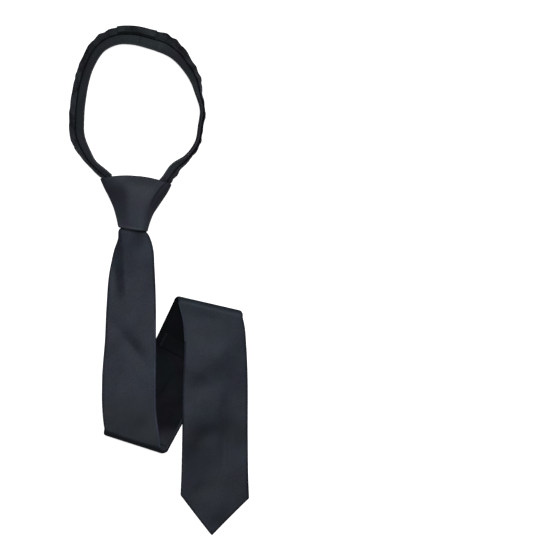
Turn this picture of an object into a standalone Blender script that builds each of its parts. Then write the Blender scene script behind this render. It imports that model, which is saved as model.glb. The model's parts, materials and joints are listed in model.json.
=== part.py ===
"""A zipper tie lying face up on a table, its blade folded twice.

Sizes are in millimetres in the tables and are turned into metres where a mesh is made. X is to the right, Y runs
from the blade's tip to the neck loop, and Z is up from the table. The blade is one closed strip carried through its
two folds, and the neck loop is a gathered cover over a zip tape that leans outward from the table as it goes round.
"""

import math

import bpy
import numpy as np

MM = 0.001
GAP = 0.3  # left between pieces that touch

# The blade
BLADE_THICK = 2.6  # cloth, interlining and cloth
EDGE_ROUND = 2.2  # how far in from its edge the blade reaches full thickness
EDGE_PLACES = (0.0, 0.15, 0.5)  # shares of that rounding where a strip has its outer points
EDGE_MOST = 0.45  # most of the half width that the rounding takes
FOLD_RADIUS = 3.1  # of the blade's middle layer where it folds over
FOLD_EASE = 34.0  # length over which a folded layer settles after the fold
FOLD_TURNS = 7  # sections round a fold
LINING_THICK = 0.6
LINING_INSET = 2.6  # the lining stops this far inside the blade's edge
LINING_FROM_FOLD = 2.0
KEEPER_THICK = 0.7
KEEPER_MARGIN = 1.0  # flat of the hump over the keeper, beyond each long edge
BRIDGE = 34.0  # width over which a layer comes down beside the one beneath it
BRIDGE_FROM = 1.0  # how far outside that edge it starts down
CROSS_SOFT = 0.5  # rounding where two heights cross
EDGE_DROOP = 1.1  # how far the blade's edges hang below its middle where it is held up
DIMPLE_DEEP = 2.7  # crease under the knot
DIMPLE_LEFT = 9.0  # how far its slope reaches from its line
DIMPLE_STEADY = 1.35  # above 1, how much more gently the slope goes on from its line
DIMPLE_FROM, DIMPLE_GROWS = 38.5, 6.0  # Y where it starts, inside the knot, and the length over which it deepens
DIMPLE_FADES, DIMPLE_LONG = 14.0, 40.0  # Y where it starts to fade, and the length over which it does
MOUTH_TWIST = 2.2  # how far the blade's right side dips under the knot
TWIST_FROM, TWIST_LONG = 12.0, 22.0  # Y where the dip starts, and the length over which it grows
TWIST_ENDS, TWIST_STOPS = 39.5, 3.0  # Y where it has ended inside the knot, and the length over which it does
TWIST_SIDE = 0.4  # share of the half width left of the middle, where the dip starts
DROOP_GROWS = 2.0  # rise over the rest at which the edges droop fully
BLADE_COLUMNS = 7  # columns of faces across the flat of the blade
LINING_COLUMNS, KEEPER_COLUMNS = 3, 5
MOUTH_SECTIONS, NECK_SECTIONS, FRONT_SECTIONS = 5, 4, 20  # inside the knot, from there to the flare, and below
BACK_SECTIONS, LINING_SECTIONS, KEEPER_SECTIONS = 13, 9, 3
TIP_UPPER_SECTIONS, TIP_LOWER_SECTIONS = 5, 16
TIP_ROWS = 7  # sections from the blade's last corners to its point
KEEPER_PLACE = (19.0, -52.2)
KEEPER_SIZE = (37.5, 11.0)
KEEPER_SOFT = 16.0  # width over which the layer above comes down beside the keeper
LAYER = BLADE_THICK + GAP + LINING_THICK + GAP  # a layer above the lining has its underside here

# The neck loop, across the strap: the seam between cover and tape is at 0
COVER_OUT = 6.8  # seam to the cover's gathered outer edge
COVER_LIP = 0.9  # how far the cover reaches over the tape beyond the seam
COVER_THICK = 3.6
SLOT_DEEP = 3.0  # the tape goes this far into the cover
SLOT_THICK = 1.7
SLOT_EXTRA = 0.12  # how much fuller the slot stays than the strap where it narrows
LIP_ROUND = 0.9  # share of the cover's half thickness left at its lips
TAPE_IN = 9.0  # seam to the tape's inner edge
TAPE_TUCK = 2.5  # part of the tape inside the cover
TAPE_THICK = 0.9
COIL_AT = (-6.5, -1.65)  # across the strap, and behind the tape
COIL_RADIUS = 0.9
COIL_SIDES = 6
GATHER_WAVE = 9.4  # mean length of one gather along the strap
GATHER_DRIFT, GATHER_DRIFT_LONG = 1.3, 41.0  # how unevenly the gathers are spaced, and over what length
GATHER_FADE, GATHER_FADE_LONG = 0.3, 27.0  # how much their height varies, and over what length
GATHER_OUT = 0.5  # how far a gather stands out of the cover's edge
GATHER_THICK = 0.35

# The knot
KNOT_WALL = 1.3
KNOT_SIDES = 40  # corners round one section
KNOT_SECTIONS = 11
KNOT_WIDEST = 0.36  # share of its height where a section is widest
KNOT_BACK_SQUARE = 6.0  # how square the flat back's corners are
MOUTH_TOP_MID = 2.0  # depth of the upper mouth between the straps
MOUTH_TOP_CORNER = 7.0  # and where the straps go in
MOUTH_STRAP_FROM, MOUTH_STRAP_EASE = 0.4, 0.25  # shares of the half width: where the mouth starts to deepen, and over
MOUTH_TAPER = 0.5  # how much the upper mouth narrows for each millimetre of its depth
MOUTH_BOTTOM = 11.0
PANEL_LEFT = 0.30  # share of the half width where the front panel turns into the left flank
FLANK_SOFT = 0.16  # share of the half width over which the panel turns into the flank
FLANK_KEEPS = 0.5  # least share of its rise that a flank keeps
PLEAT_DROP = 1.2  # step beside the wrap's folded edge
PLEAT_WIDE = 1.6  # width of that step
PLEAT_FROM, PLEAT_SOFT = 0.5, 3.0  # share of the height where it starts, and the height over which it grows

# The zip's hidden end
SLIDER_SIZE = (9.4, 8.6, 3.3)
SLIDER_PLACE = (-19.0, 43.6)
SLIDER_LIFT = 0.4  # above the knot's wall
SLIDER_CORNER = 0.3  # share of its sizes where its corners are cut
SLIDER_TOP = 0.86  # share of its plan left at its two faces
TAIL_THICK = 1.0
CHAIN_WIDE = 4.4
CHAIN_THICK = 2.3
CHAIN_SLOPE = 0.5
TAIL_SECTIONS = 7

# The blade's sections: place of the middle, width along the section, the section's slope, thickness
FRONT_COLUMNS = ("name", "x", "y", "wide", "slope", "thick", "rise")
FRONT_RUN = (
    ("in_knot", -18.2, 47.4, 16.0, -8.8, 5.2, 9.0),
    ("knot_mouth", -18.8, 38.2, 16.8, -8.6, 5.8, 9.2),
    ("under_knot", -18.4, 35.8, 21.4, -8.4, 5.8, 9.1),
    ("neck", -17.5, 30.6, 24.0, -4.0, 5.3, 8.4),
    ("flare", -18.1, 23.4, 28.6, -1.0, 4.6, 7.2),
    ("upper", -19.5, 9.0, 33.3, 0.0, 3.6, 5.4),
    ("middle", -20.3, -20.1, 37.0, 0.0, 2.9, 4.5),
    ("lower", -20.8, -43.0, 38.1, 0.0, BLADE_THICK, 4.1),
    ("waist", -22.0, -74.5, 40.2, 0.0, BLADE_THICK, BLADE_THICK / 2),
    ("foot", -21.7, -96.0, 40.2, -2.5, BLADE_THICK, BLADE_THICK / 2),
    ("fold", -19.1, -117.2, 43.8, -17.8, BLADE_THICK, BLADE_THICK / 2),
)
# The line of the crease under the knot
CREASE_COLUMNS = ("name", "x", "y")
CREASE_LINE = (
    ("mouth", -28.0, 37.0),
    ("neck", -26.0, 30.0),
    ("upper", -25.7, 8.0),
    ("end", -24.0, -16.0),
)

BACK_COLUMNS = ("name", "x", "y", "wide", "slope")
BACK_RUN = (
    ("lower_fold", -15.9, -118.8, 48.8, -17.8),
    ("crossing", 9.4, -73.0, 47.6, -15.5),
    ("upper_fold", 35.4, -21.0, 49.4, -13.0),
)
TIP_COLUMNS = ("name", "x", "y", "wide", "slope")
TIP_RUN = (
    ("fold", 38.7, -22.0, 49.2, -12.9),
    ("after_fold", 40.9, -31.4, 46.8, -6.9),
    ("upper", 42.2, -46.2, 46.1, -2.0),
    ("middle", 42.2, -74.5, 48.3, 0.0),
    ("lower", 42.0, -116.0, 48.8, 0.0),
    ("near_tip", 41.8, -149.0, 50.1, -1.0),
    ("corners", 41.8, -161.2, 51.2, -2.7),
)
TIP_POINT = (39.6, -189.7)
TIP_BLUNT = 1.0  # width left at the point
TIP_THIN = 0.3  # share of the thickness left there

# The knot's sections from its lower mouth up: middle, half width, slope, height, squareness, bow of the middle,
# share of the half width where the wrap folds under on the right, and how steeply the flanks fall
KNOT_COLUMNS = ("name", "x", "y", "half", "slope", "high", "square", "bow", "fold_at", "flank")
KNOT_RUN = (
    ("lower_mouth", -18.9, 38.0, 10.95, -8.8, 16.3, 4.0, -0.6, 1.10, 0.30),
    ("waist", -18.6, 45.2, 12.8, -7.8, 18.4, 3.2, 0.0, 0.98, 0.66),
    ("lower", -18.35, 51.1, 14.85, -8.2, 19.7, 3.1, 0.6, 0.90, 0.74),
    ("middle", -17.6, 58.1, 18.6, -6.9, 20.4, 3.2, 1.4, 0.72, 0.75),
    ("upper", -16.7, 67.0, 23.75, -4.5, 19.0, 3.4, 3.0, 0.77, 0.34),
    ("upper_mouth", -16.6, 72.6, 26.45, -4.4, 16.4, 4.6, 4.0, 0.86, 0.0),
)

# The neck loop's seam line, from the knot's left corner round to its right: place, lean of the strap from lying
# flat, lift of its lower edge, and how full the strap is
LOOP_COLUMNS = ("name", "x", "y", "lean", "lift", "full")
LOOP_RUN = (
    ("left_in_knot", -36.2, 74.5, 58, 2.3, 0.72),
    ("left_mouth", -40.6, 78.4, 60, 2.3, 0.76),
    ("left_low", -48.2, 85.3, 70, 0.9, 0.92),
    ("left_bend", -54.3, 93.7, 59, 0.0, 1.0),
    ("left_side", -60.7, 107.4, 44, 0.0, 1.0),
    ("left_mid", -61.1, 120.8, 42, 0.0, 1.0),
    ("left_high", -59.4, 137.6, 42, 0.0, 1.0),
    ("left_pinch", -57.5, 147.1, 43, 0.0, 1.0),
    ("left_shoulder", -53.5, 159.8, 42, 0.0, 1.0),
    ("left_crown", -43.3, 175.8, 35, 0.0, 1.0),
    ("joint_left", -29.8, 182.2, 29, 0.15, 1.0),
    ("top_mid", -19.6, 182.5, 26, 0.15, 1.0),
    ("joint_right", -2.6, 178.8, 21, 0.15, 1.0),
    ("right_top", 2.1, 177.7, 13, 0.0, 1.0),
    ("right_crown", 12.5, 171.1, 34, 0.0, 1.0),
    ("right_shoulder", 21.6, 160.0, 53, 0.0, 1.0),
    ("right_high", 27.9, 148.6, 65, 0.0, 1.0),
    ("right_pinch", 30.2, 138.4, 80, 0.0, 1.0),
    ("right_mid", 33.0, 125.3, 88, 0.0, 1.0),
    ("right_side", 31.6, 114.6, 89, 0.0, 1.0),
    ("right_turn", 29.2, 101.6, 88, 0.0, 1.0),
    ("right_bend", 21.8, 90.8, 83, 0.3, 0.86),
    ("right_low", 12.9, 82.9, 66, 1.2, 0.95),
    ("right_mouth", 6.2, 73.8, 61, 2.3, 0.8),
    ("right_in_knot", 2.2, 69.6, 60, 2.3, 0.74),
)
LOOP_STEP = 2.7  # length of strap between two sections
JOINT_PROUD = 0.55  # how much fuller than the covers the joint is
TAPE_MEETS = 0.62  # share of the way along the joint where the two tapes meet

# The closed zip under the blade: middle, width and height of its underside above the table
TAIL_COLUMNS = ("name", "x", "y", "wide", "lift")
TAIL_RUN = (
    ("at_slider", -19.1, 38.6, 13.4, 1.9),
    ("knot_edge", -19.2, 36.4, 14.6, 1.5),
    ("below_knot", -19.1, 31.0, 18.0, 0.3),
    ("upper", -19.3, 24.0, 20.0, 0.0),
    ("middle", -20.2, -8.0, 20.0, 0.0),
    ("end", -20.9, -46.0, 20.0, 0.0),
)

NAVY_CLOTH = (0.030, 0.035, 0.046, 1.0)
DARK_CLOTH = (0.020, 0.022, 0.028, 1.0)
LINING_BLACK = (0.007, 0.008, 0.010, 1.0)
TAPE_NAVY = (0.024, 0.027, 0.034, 1.0)
COIL_NAVY = (0.035, 0.038, 0.045, 1.0)
SLIDER_GREY = (0.05, 0.05, 0.055, 1.0)


def clear_scene():
    for item in list(bpy.data.objects):
        bpy.data.objects.remove(item, do_unlink=True)


def finish(name, colour, roughness, metallic=0.0):
    """A plain material with the piece's colour."""
    made = bpy.data.materials.get(name) or bpy.data.materials.new(name)
    made.use_nodes = True
    shader = made.node_tree.nodes["Principled BSDF"]
    shader.inputs["Base Color"].default_value = colour
    shader.inputs["Roughness"].default_value = roughness
    shader.inputs["Metallic"].default_value = metallic
    return made


def column(rows, columns, name):
    """One named column of a table, as an array."""
    return np.array([row[columns.index(name)] for row in rows], float)


def named_row(rows, name):
    """The number of the row that has this name."""
    return [row[0] for row in rows].index(name)


def smooth(knots, values, wanted):
    """A monotone-safe cubic through the values: at each knot its slope is the smaller of the two beside it where
    they agree in sign, and nothing where they don't, so that no width or height overshoots its rows."""
    steps = np.diff(knots)
    rates = np.diff(values) / steps
    slopes = np.zeros(len(knots))
    same = rates[:-1] * rates[1:] > 0
    mean = (rates[:-1] * steps[1:] + rates[1:] * steps[:-1]) / (steps[:-1] + steps[1:])
    limit = 3.0 * np.minimum(np.abs(rates[:-1]), np.abs(rates[1:]))
    slopes[1:-1] = np.where(same, np.sign(mean) * np.minimum(np.abs(mean), limit), 0.0)
    slopes[0] = rates[0]
    slopes[-1] = rates[-1]
    return hermite(knots, values, slopes, wanted)


def curve(knots, values, wanted):
    """A cubic through the values with the mean slope at each knot, for places along a path."""
    return hermite(knots, values, np.gradient(values, knots), wanted)


def hermite(knots, values, slopes, wanted):
    """Cubic pieces between knots, from the value and slope at each."""
    piece = np.clip(np.searchsorted(knots, wanted, side="right") - 1, 0, len(knots) - 2)
    width = knots[piece + 1] - knots[piece]
    t = (wanted - knots[piece]) / width
    return (
        (2 * t**3 - 3 * t**2 + 1) * values[piece]
        + (t**3 - 2 * t**2 + t) * width * slopes[piece]
        + (3 * t**2 - 2 * t**3) * values[piece + 1]
        + (t**3 - t**2) * width * slopes[piece + 1]
    )


def ramp(value):
    """0 below 0, 1 above 1, and a smooth S between."""
    t = np.clip(value, 0.0, 1.0)
    return t * t * (3.0 - 2.0 * t)


def chord_lengths(x, y):
    """Distance along a row of points."""
    return np.concatenate([[0.0], np.cumsum(np.hypot(np.diff(x), np.diff(y)))])


def face_outwards(mesh):
    """Turns every face over if the body's volume comes out negative."""
    mesh.calc_loop_triangles()
    places = np.array([vertex.co for vertex in mesh.vertices])
    corners = places[np.array([triangle.vertices for triangle in mesh.loop_triangles])]
    if np.einsum("ij,ij->", corners[:, 0], np.cross(corners[:, 1], corners[:, 2])) < 0:
        mesh.flip_normals()


def add_piece(name, points, faces, material):
    """An object from points in millimetres, with its origin at the part's origin."""
    mesh = bpy.data.meshes.new(name)
    mesh.from_pydata((np.asarray(points) * MM).tolist(), [], faces)
    face_outwards(mesh)
    mesh.materials.append(material)
    mesh.shade_smooth()
    mesh.set_sharp_from_angle(angle=math.radians(40))
    piece = bpy.data.objects.new(name, mesh)
    bpy.context.collection.objects.link(piece)
    return piece


def ring_faces(rows, around):
    """The quads between closed rings, each ring running the same way round."""
    faces = []
    for row in range(rows - 1):
        for side in range(around):
            after = (side + 1) % around
            faces.append((row * around + side, row * around + after, (row + 1) * around + after,
                          (row + 1) * around + side))
    return faces


def tube(name, rings, material):
    """A closed body through rings of points, with one flat face over each end."""
    rows, around = rings.shape[:2]
    faces = ring_faces(rows, around)
    faces.append(tuple(range(around))[::-1])
    faces.append(tuple(range((rows - 1) * around, rows * around)))
    return add_piece(name, rings.reshape(-1, 3), faces, material)


def domed_tube(name, rings, material):
    """A closed body through rings of points, with a fan of triangles over each end, which needn't be flat."""
    rows, around = rings.shape[:2]
    points = np.concatenate([rings.reshape(-1, 3), [rings[0].mean(axis=0)], [rings[-1].mean(axis=0)]])
    first, last = rows * around, rows * around + 1
    faces = ring_faces(rows, around)
    for side in range(around):
        after = (side + 1) % around
        faces.append((after, side, first))
        faces.append(((rows - 1) * around + side, (rows - 1) * around + after, last))
    return add_piece(name, points, faces, material)


def strip_places(half_width, rounding, inner):
    """Places across a strip from edge to edge, close together where the edge is round."""
    edge = rounding * np.array(EDGE_PLACES)
    left = -half_width + edge
    middle = np.linspace(-half_width + rounding, half_width - rounding, inner + 2)
    return np.concatenate([left, middle, -left[::-1]])


def edge_factor(across, half_width, rounding):
    """Share of the full thickness: 1 inside, and a quarter of an ellipse down to 0 at the edge."""
    inside = np.clip((half_width - np.abs(across)) / rounding, 0.0, 1.0)
    return np.sqrt(np.clip(1.0 - (1.0 - inside) ** 2, 0.0, 1.0))


def section_grid(x, y, half, slope, inner, rounding):
    """Plan places of a run of sections: rows along the strip, columns across it."""
    across = np.array([strip_places(h, min(rounding, EDGE_MOST * h), inner) for h in half])
    tilt = np.radians(slope)[:, None]
    plan = np.stack([x[:, None] + across * np.cos(tilt), y[:, None] + across * np.sin(tilt)], axis=2)
    return plan, across


def surface_normals(grid):
    """Unit normals of a grid of points, from its differences both ways."""
    along = np.gradient(grid, axis=0)
    across = np.gradient(grid, axis=1)
    normal = np.cross(along, across)
    return normal / np.linalg.norm(normal, axis=2, keepdims=True)


def thick_strip(name, grid, half_thick, material):
    """A closed strip round a middle layer: its two faces lie half its thickness either side, and meet at the edges."""
    offset = surface_normals(grid) * half_thick[:, :, None]
    over, under = grid + offset, grid - offset
    rings = np.concatenate([over, under[:, -2:0:-1]], axis=1)
    rows, columns = grid.shape[:2]
    around = rings.shape[1]
    faces = ring_faces(rows, around)
    for end, flip in ((0, True), (rows - 1, False)):
        start = end * around
        for side in range(columns - 1):
            low = [(start + (around - side) % around), (start + (around - side - 1) % around)]
            face = [start + side, start + side + 1, low[1], low[0]]
            if side == 0:
                face = [start, start + 1, start + around - 1]
            if side == columns - 2:
                face = [start + side, start + side + 1, low[0]]
            faces.append(tuple(face[::-1] if flip else face))
    points = rings.reshape(-1, 3)
    return add_piece(name, points, faces, material)


def beside(points, start, end):
    """Distance of plan points from a line, positive to its left."""
    run = np.subtract(end, start)
    run = run / np.hypot(*run)
    away = points - np.array(start)
    return run[0] * away[..., 1] - run[1] * away[..., 0]


def back_edges():
    """The two long edges of the folded-back stretch, each as two plan points."""
    first, last = BACK_RUN[0], BACK_RUN[-1]
    edges = []
    for side in (-0.5, 0.5):
        ends = []
        for _, x, y, wide, slope in (first, last):
            tilt = math.radians(slope)
            ends.append((x + side * wide * math.cos(tilt), y + side * wide * math.sin(tilt)))
        edges.append(ends)
    return edges


def keeper_frame():
    """Middle of the keeper, and the directions across the strip and along it."""
    left, right = back_edges()
    along = np.subtract(left[1], left[0])
    along = along / np.hypot(*along)
    across = np.array([along[1], -along[0]])
    return np.array(KEEPER_PLACE), across, along


def over_back(plan, edge, side):
    """What the folded-back stretch holds up: 1 over it, easing to 0 over the bridge beside its edge."""
    away = side * beside(plan, *edge)
    return ramp(1.0 + (away + BRIDGE_FROM) / BRIDGE)


def front_grid():
    """The middle layer of the first run, face up, from inside the knot to the lower fold."""
    along = -column(FRONT_RUN, FRONT_COLUMNS, "y")
    mouth, settled = (along[named_row(FRONT_RUN, name)] for name in ("under_knot", "flare"))
    steps = np.concatenate([
        np.linspace(along[0], mouth, MOUTH_SECTIONS), np.linspace(mouth, settled, NECK_SECTIONS)[1:],
        np.linspace(settled, along[-1], FRONT_SECTIONS)[1:],
    ])
    read = {name: smooth(along, column(FRONT_RUN, FRONT_COLUMNS, name), steps)
            for name in ("wide", "slope", "thick", "rise")}
    x = curve(along, column(FRONT_RUN, FRONT_COLUMNS, "x"), steps)
    half = read["wide"] / 2
    plan, across = section_grid(x, -steps, half, read["slope"], BLADE_COLUMNS, EDGE_ROUND)
    left, _ = back_edges()
    resting = BLADE_THICK / 2 + LAYER * over_back(plan, left, -1.0) + fold_lift(plan, plan[-1])
    rise = read["rise"][:, None]
    droop = EDGE_DROOP * (across / half[:, None]) ** 2 * ramp((rise - BLADE_THICK) / DROOP_GROWS)
    twist = MOUTH_TWIST * ramp(across / half[:, None] + TWIST_SIDE)
    twist *= ramp((plan[..., 1] - TWIST_FROM) / TWIST_LONG) * ramp((TWIST_ENDS - plan[..., 1]) / TWIST_STOPS)
    held_up = np.maximum(rise - droop - dimple(plan) - twist, BLADE_THICK / 2)
    return np.dstack([plan, blend_up(held_up, resting)]), read["thick"], across, half


def fold_lift(plan, line):
    """How much higher than its rest a layer lies near its fold, easing out over a length beside the fold's line."""
    from_fold = np.linalg.norm(plan - line[None, :, :], axis=2)
    return (2 * FOLD_RADIUS - LAYER) * (1 - ramp(from_fold / FOLD_EASE))


def dimple(plan):
    """The crease under the knot: left of its line the cloth falls away, steepest at the line."""
    reach = ramp((DIMPLE_FROM - plan[..., 1]) / DIMPLE_GROWS)
    reach = reach * (1 - ramp((DIMPLE_FADES - plan[..., 1]) / DIMPLE_LONG))
    line = smooth(-column(CREASE_LINE, CREASE_COLUMNS, "y"), column(CREASE_LINE, CREASE_COLUMNS, "x"),
                  np.clip(-plan[..., 1], -CREASE_LINE[0][2], -CREASE_LINE[-1][2]))
    fall = np.clip((line - plan[..., 0]) / DIMPLE_LEFT, 0.0, 1.0)
    return DIMPLE_DEEP * reach * (1.0 - (1.0 - fall) ** DIMPLE_STEADY)


def blend_up(first, second):
    """The higher of two heights, rounded where they cross."""
    return 0.5 * (first + second + np.sqrt((first - second) ** 2 + CROSS_SOFT**2) - CROSS_SOFT)


def back_grid():
    """The middle layer of the folded-back run, face down on the table."""
    steps, x, half, slope = back_sections(0.0, BACK_SECTIONS)
    plan, across = section_grid(x, steps, half, slope, BLADE_COLUMNS, EDGE_ROUND)
    return np.dstack([plan, np.full(plan.shape[:2], BLADE_THICK / 2)]), across, half


def back_sections(held_back, count):
    """Sections of the folded-back run, which may stop short of both folds."""
    rows_at = column(BACK_RUN, BACK_COLUMNS, "y")
    steps = np.linspace(rows_at[0] + held_back, rows_at[-1] - held_back, count)
    x = curve(rows_at, column(BACK_RUN, BACK_COLUMNS, "x"), steps)
    half = smooth(rows_at, column(BACK_RUN, BACK_COLUMNS, "wide"), steps) / 2
    return steps, x, half, smooth(rows_at, column(BACK_RUN, BACK_COLUMNS, "slope"), steps)


def tip_grid():
    """The middle layer of the last run, face up, from the upper fold to the point."""
    along = -column(TIP_RUN, TIP_COLUMNS, "y")
    upper = along[named_row(TIP_RUN, "upper")]
    body = np.concatenate([
        np.linspace(along[0], upper, TIP_UPPER_SECTIONS), np.linspace(upper, along[-1], TIP_LOWER_SECTIONS)[1:],
    ])
    to_point = np.linspace(0.0, 1.0, TIP_ROWS + 1)[1:]
    x = curve(along, column(TIP_RUN, TIP_COLUMNS, "x"), body)
    half = smooth(along, column(TIP_RUN, TIP_COLUMNS, "wide"), body) / 2
    slope = smooth(along, column(TIP_RUN, TIP_COLUMNS, "slope"), body)
    x = np.concatenate([x, x[-1] + to_point * (TIP_POINT[0] - x[-1])])
    y = np.concatenate([-body, -body[-1] + to_point * (TIP_POINT[1] + body[-1])])
    half = np.concatenate([half, half[-1] + to_point * (TIP_BLUNT / 2 - half[-1])])
    slope = np.concatenate([slope, slope[-1] * (1 - to_point)])
    plan, across = section_grid(x, y, half, slope, BLADE_COLUMNS, EDGE_ROUND)
    _, right = back_edges()
    held = over_back(plan, right, 1.0)
    lift = np.maximum(fold_lift(plan, plan[0]), keeper_lift(plan) * ramp(2.0 * held))
    return np.dstack([plan, BLADE_THICK / 2 + LAYER * held + lift]), across, half


def keeper_lift(plan):
    """The soft hump that the keeper makes in the layer above it."""
    middle, keeper_across, keeper_along = keeper_frame()
    away = plan - middle
    beyond = np.hypot(
        np.maximum(np.abs(away @ keeper_across) - KEEPER_SIZE[0] / 2, 0.0),
        np.maximum(np.abs(away @ keeper_along) - KEEPER_SIZE[1] / 2 - KEEPER_MARGIN, 0.0),
    )
    return (KEEPER_THICK + 2 * GAP) * (1 - ramp(beyond / KEEPER_SOFT))


def roll(upper, lower, outward):
    """The layers' turn at a fold: half an ellipse from the upper section to the lower, standing outward."""
    turns = (np.pi * np.arange(1, FOLD_TURNS + 1) / (FOLD_TURNS + 1))[:, None, None]
    middle, half = (upper + lower) / 2, (upper - lower) / 2
    return middle + half * np.cos(turns) + outward * FOLD_RADIUS * np.sin(turns)


def fold_outward(upper, away_from):
    """Unit plan direction square to a fold's line, pointing away from the strip."""
    line = upper[-1] - upper[0]
    square = np.array([line[1], -line[0], 0.0])
    square = square / np.linalg.norm(square)
    return square if np.dot(square, upper[0] - away_from[0]) > 0 else -square


def blade(material):
    front, front_thick, front_across, front_half = front_grid()
    back, back_across, back_half = back_grid()
    tip, tip_across, tip_half = tip_grid()
    lower_turn = roll(front[-1], back[0], fold_outward(front[-1], front[-3]))
    upper_turn = roll(tip[0], back[-1], fold_outward(tip[0], tip[4]))[::-1]
    grid = np.concatenate([front, lower_turn, back, upper_turn, tip])
    turn_rows = len(lower_turn)
    across = np.concatenate([
        front_across, np.repeat(front_across[-1:], turn_rows, axis=0), back_across,
        np.repeat(back_across[-1:], turn_rows, axis=0), tip_across,
    ])
    half = np.concatenate([
        front_half, np.full(turn_rows, front_half[-1]), back_half, np.full(turn_rows, back_half[-1]), tip_half,
    ])
    thick = np.concatenate([front_thick, np.full(len(grid) - len(front_thick), BLADE_THICK)])
    rounding = np.minimum(EDGE_ROUND, EDGE_MOST * half)
    factor = np.array([edge_factor(row, h, r) for row, h, r in zip(across, half, rounding)])
    taper = TIP_THIN + (1.0 - TIP_THIN) * ramp((half - TIP_BLUNT / 2) / EDGE_ROUND)
    return thick_strip("blade", grid, 0.5 * factor * (thick * taper)[:, None], material)


def back_lining(material):
    """The lining on the folded-back run, held back from both folds and both edges."""
    steps, x, half, slope = back_sections(LINING_FROM_FOLD, LINING_SECTIONS)
    half = half - LINING_INSET
    plan, across = section_grid(x, steps, half, slope, LINING_COLUMNS, LINING_THICK)
    middle = np.full(plan.shape[:2], BLADE_THICK + GAP + LINING_THICK / 2)
    factor = np.array([edge_factor(row, h, LINING_THICK) for row, h in zip(across, half)])
    return thick_strip("back_lining", np.dstack([plan, middle]), 0.5 * LINING_THICK * factor, material)


def keeper_loop(material):
    """A flat band across the lining."""
    middle, across, along = keeper_frame()
    places = np.linspace(-KEEPER_SIZE[1] / 2, KEEPER_SIZE[1] / 2, KEEPER_SECTIONS)
    width = strip_places(KEEPER_SIZE[0] / 2, KEEPER_THICK, KEEPER_COLUMNS)
    plan = middle + places[:, None, None] * along + width[None, :, None] * across
    z = np.full(plan.shape[:2], BLADE_THICK + 2 * GAP + LINING_THICK + KEEPER_THICK / 2)
    factor = edge_factor(width, KEEPER_SIZE[0] / 2, KEEPER_THICK)[None, :].repeat(len(places), axis=0)
    return thick_strip("keeper_loop", np.dstack([plan, z]), 0.5 * KEEPER_THICK * factor, material)


def knot_contour(half, high, square, wall, narrow=0.0):
    """One section of the knot: a flat back with rounded corners under a domed front, set in by the wall."""
    turns = 2 * np.pi * (np.arange(KNOT_SIDES) + 0.5) / KNOT_SIDES
    cosine, sine = np.cos(turns), np.sin(turns)
    power = np.where(sine > 0, 2.0 / square, 2.0 / KNOT_BACK_SQUARE)
    across = (half - wall - narrow) * np.sign(cosine) * np.abs(cosine) ** power
    widest = KNOT_WIDEST * high
    above = (high - wall - widest) * np.abs(sine) ** power
    below = (widest - wall) * np.abs(sine) ** power
    return across, widest + np.where(sine > 0, above, -below)


def knot(material):
    """The knot: skin rings from the lower mouth to the upper, and a shallow hollow behind each mouth."""
    places = np.linspace(0, 1, KNOT_SECTIONS)
    rows_at = column(KNOT_RUN, KNOT_COLUMNS, "y")
    along = (rows_at - rows_at[0]) / (rows_at[-1] - rows_at[0])
    read = {name: smooth(along, column(KNOT_RUN, KNOT_COLUMNS, name), places)
            for name in ("y", "half", "slope", "high", "square", "bow", "fold_at", "flank")}
    read["x"] = curve(along, column(KNOT_RUN, KNOT_COLUMNS, "x"), places)

    def ring(row, wall, inward):
        across, z = knot_contour(read["half"][row], read["high"][row], read["square"][row], wall,
                                 MOUTH_TAPER * np.maximum(inward, 0.0))
        half, high = read["half"][row], read["high"][row]
        share = across / half
        beyond = (share - read["fold_at"][row]) * half
        past_panel = -PANEL_LEFT - share
        outside = np.maximum(0.5 * (past_panel + np.sqrt(past_panel**2 + FLANK_SOFT**2)) * half, beyond)
        flank = high - wall - read["flank"][row] * outside
        z = np.where(z > flank, np.maximum(flank, KNOT_WIDEST * high + FLANK_KEEPS * (z - KNOT_WIDEST * high)), z)
        drop = PLEAT_DROP * ramp(beyond / PLEAT_WIDE + 0.5) * ramp((z - PLEAT_FROM * high) / PLEAT_SOFT)
        tilt = math.radians(read["slope"][row])
        bow = read["bow"][row] * (1 - share**2) - inward
        return np.stack([
            read["x"][row] + across * math.cos(tilt) - bow * math.sin(tilt),
            read["y"][row] + across * math.sin(tilt) + bow * math.cos(tilt),
            z - drop,
        ], axis=1)

    last = len(places) - 1
    share = knot_contour(1.0, read["high"][last], read["square"][last], 0.0)[0]
    at_strap = ramp((np.abs(share) - MOUTH_STRAP_FROM) / MOUTH_STRAP_EASE)
    top_depth = MOUTH_TOP_MID + (MOUTH_TOP_CORNER - MOUTH_TOP_MID) * at_strap
    rings = [ring(0, KNOT_WALL, -MOUTH_BOTTOM), ring(0, KNOT_WALL, 0.0)]
    rings += [ring(row, 0.0, 0.0) for row in range(len(places))]
    rings += [ring(last, KNOT_WALL, 0.0), ring(last, KNOT_WALL, top_depth)]
    return domed_tube("knot", np.array(rings), material)


def loop_rows():
    """The table's places of the seam line, and each one's distance along it."""
    x = column(LOOP_RUN, LOOP_COLUMNS, "x")
    y = column(LOOP_RUN, LOOP_COLUMNS, "y")
    return x, y, chord_lengths(x, y)


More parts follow.
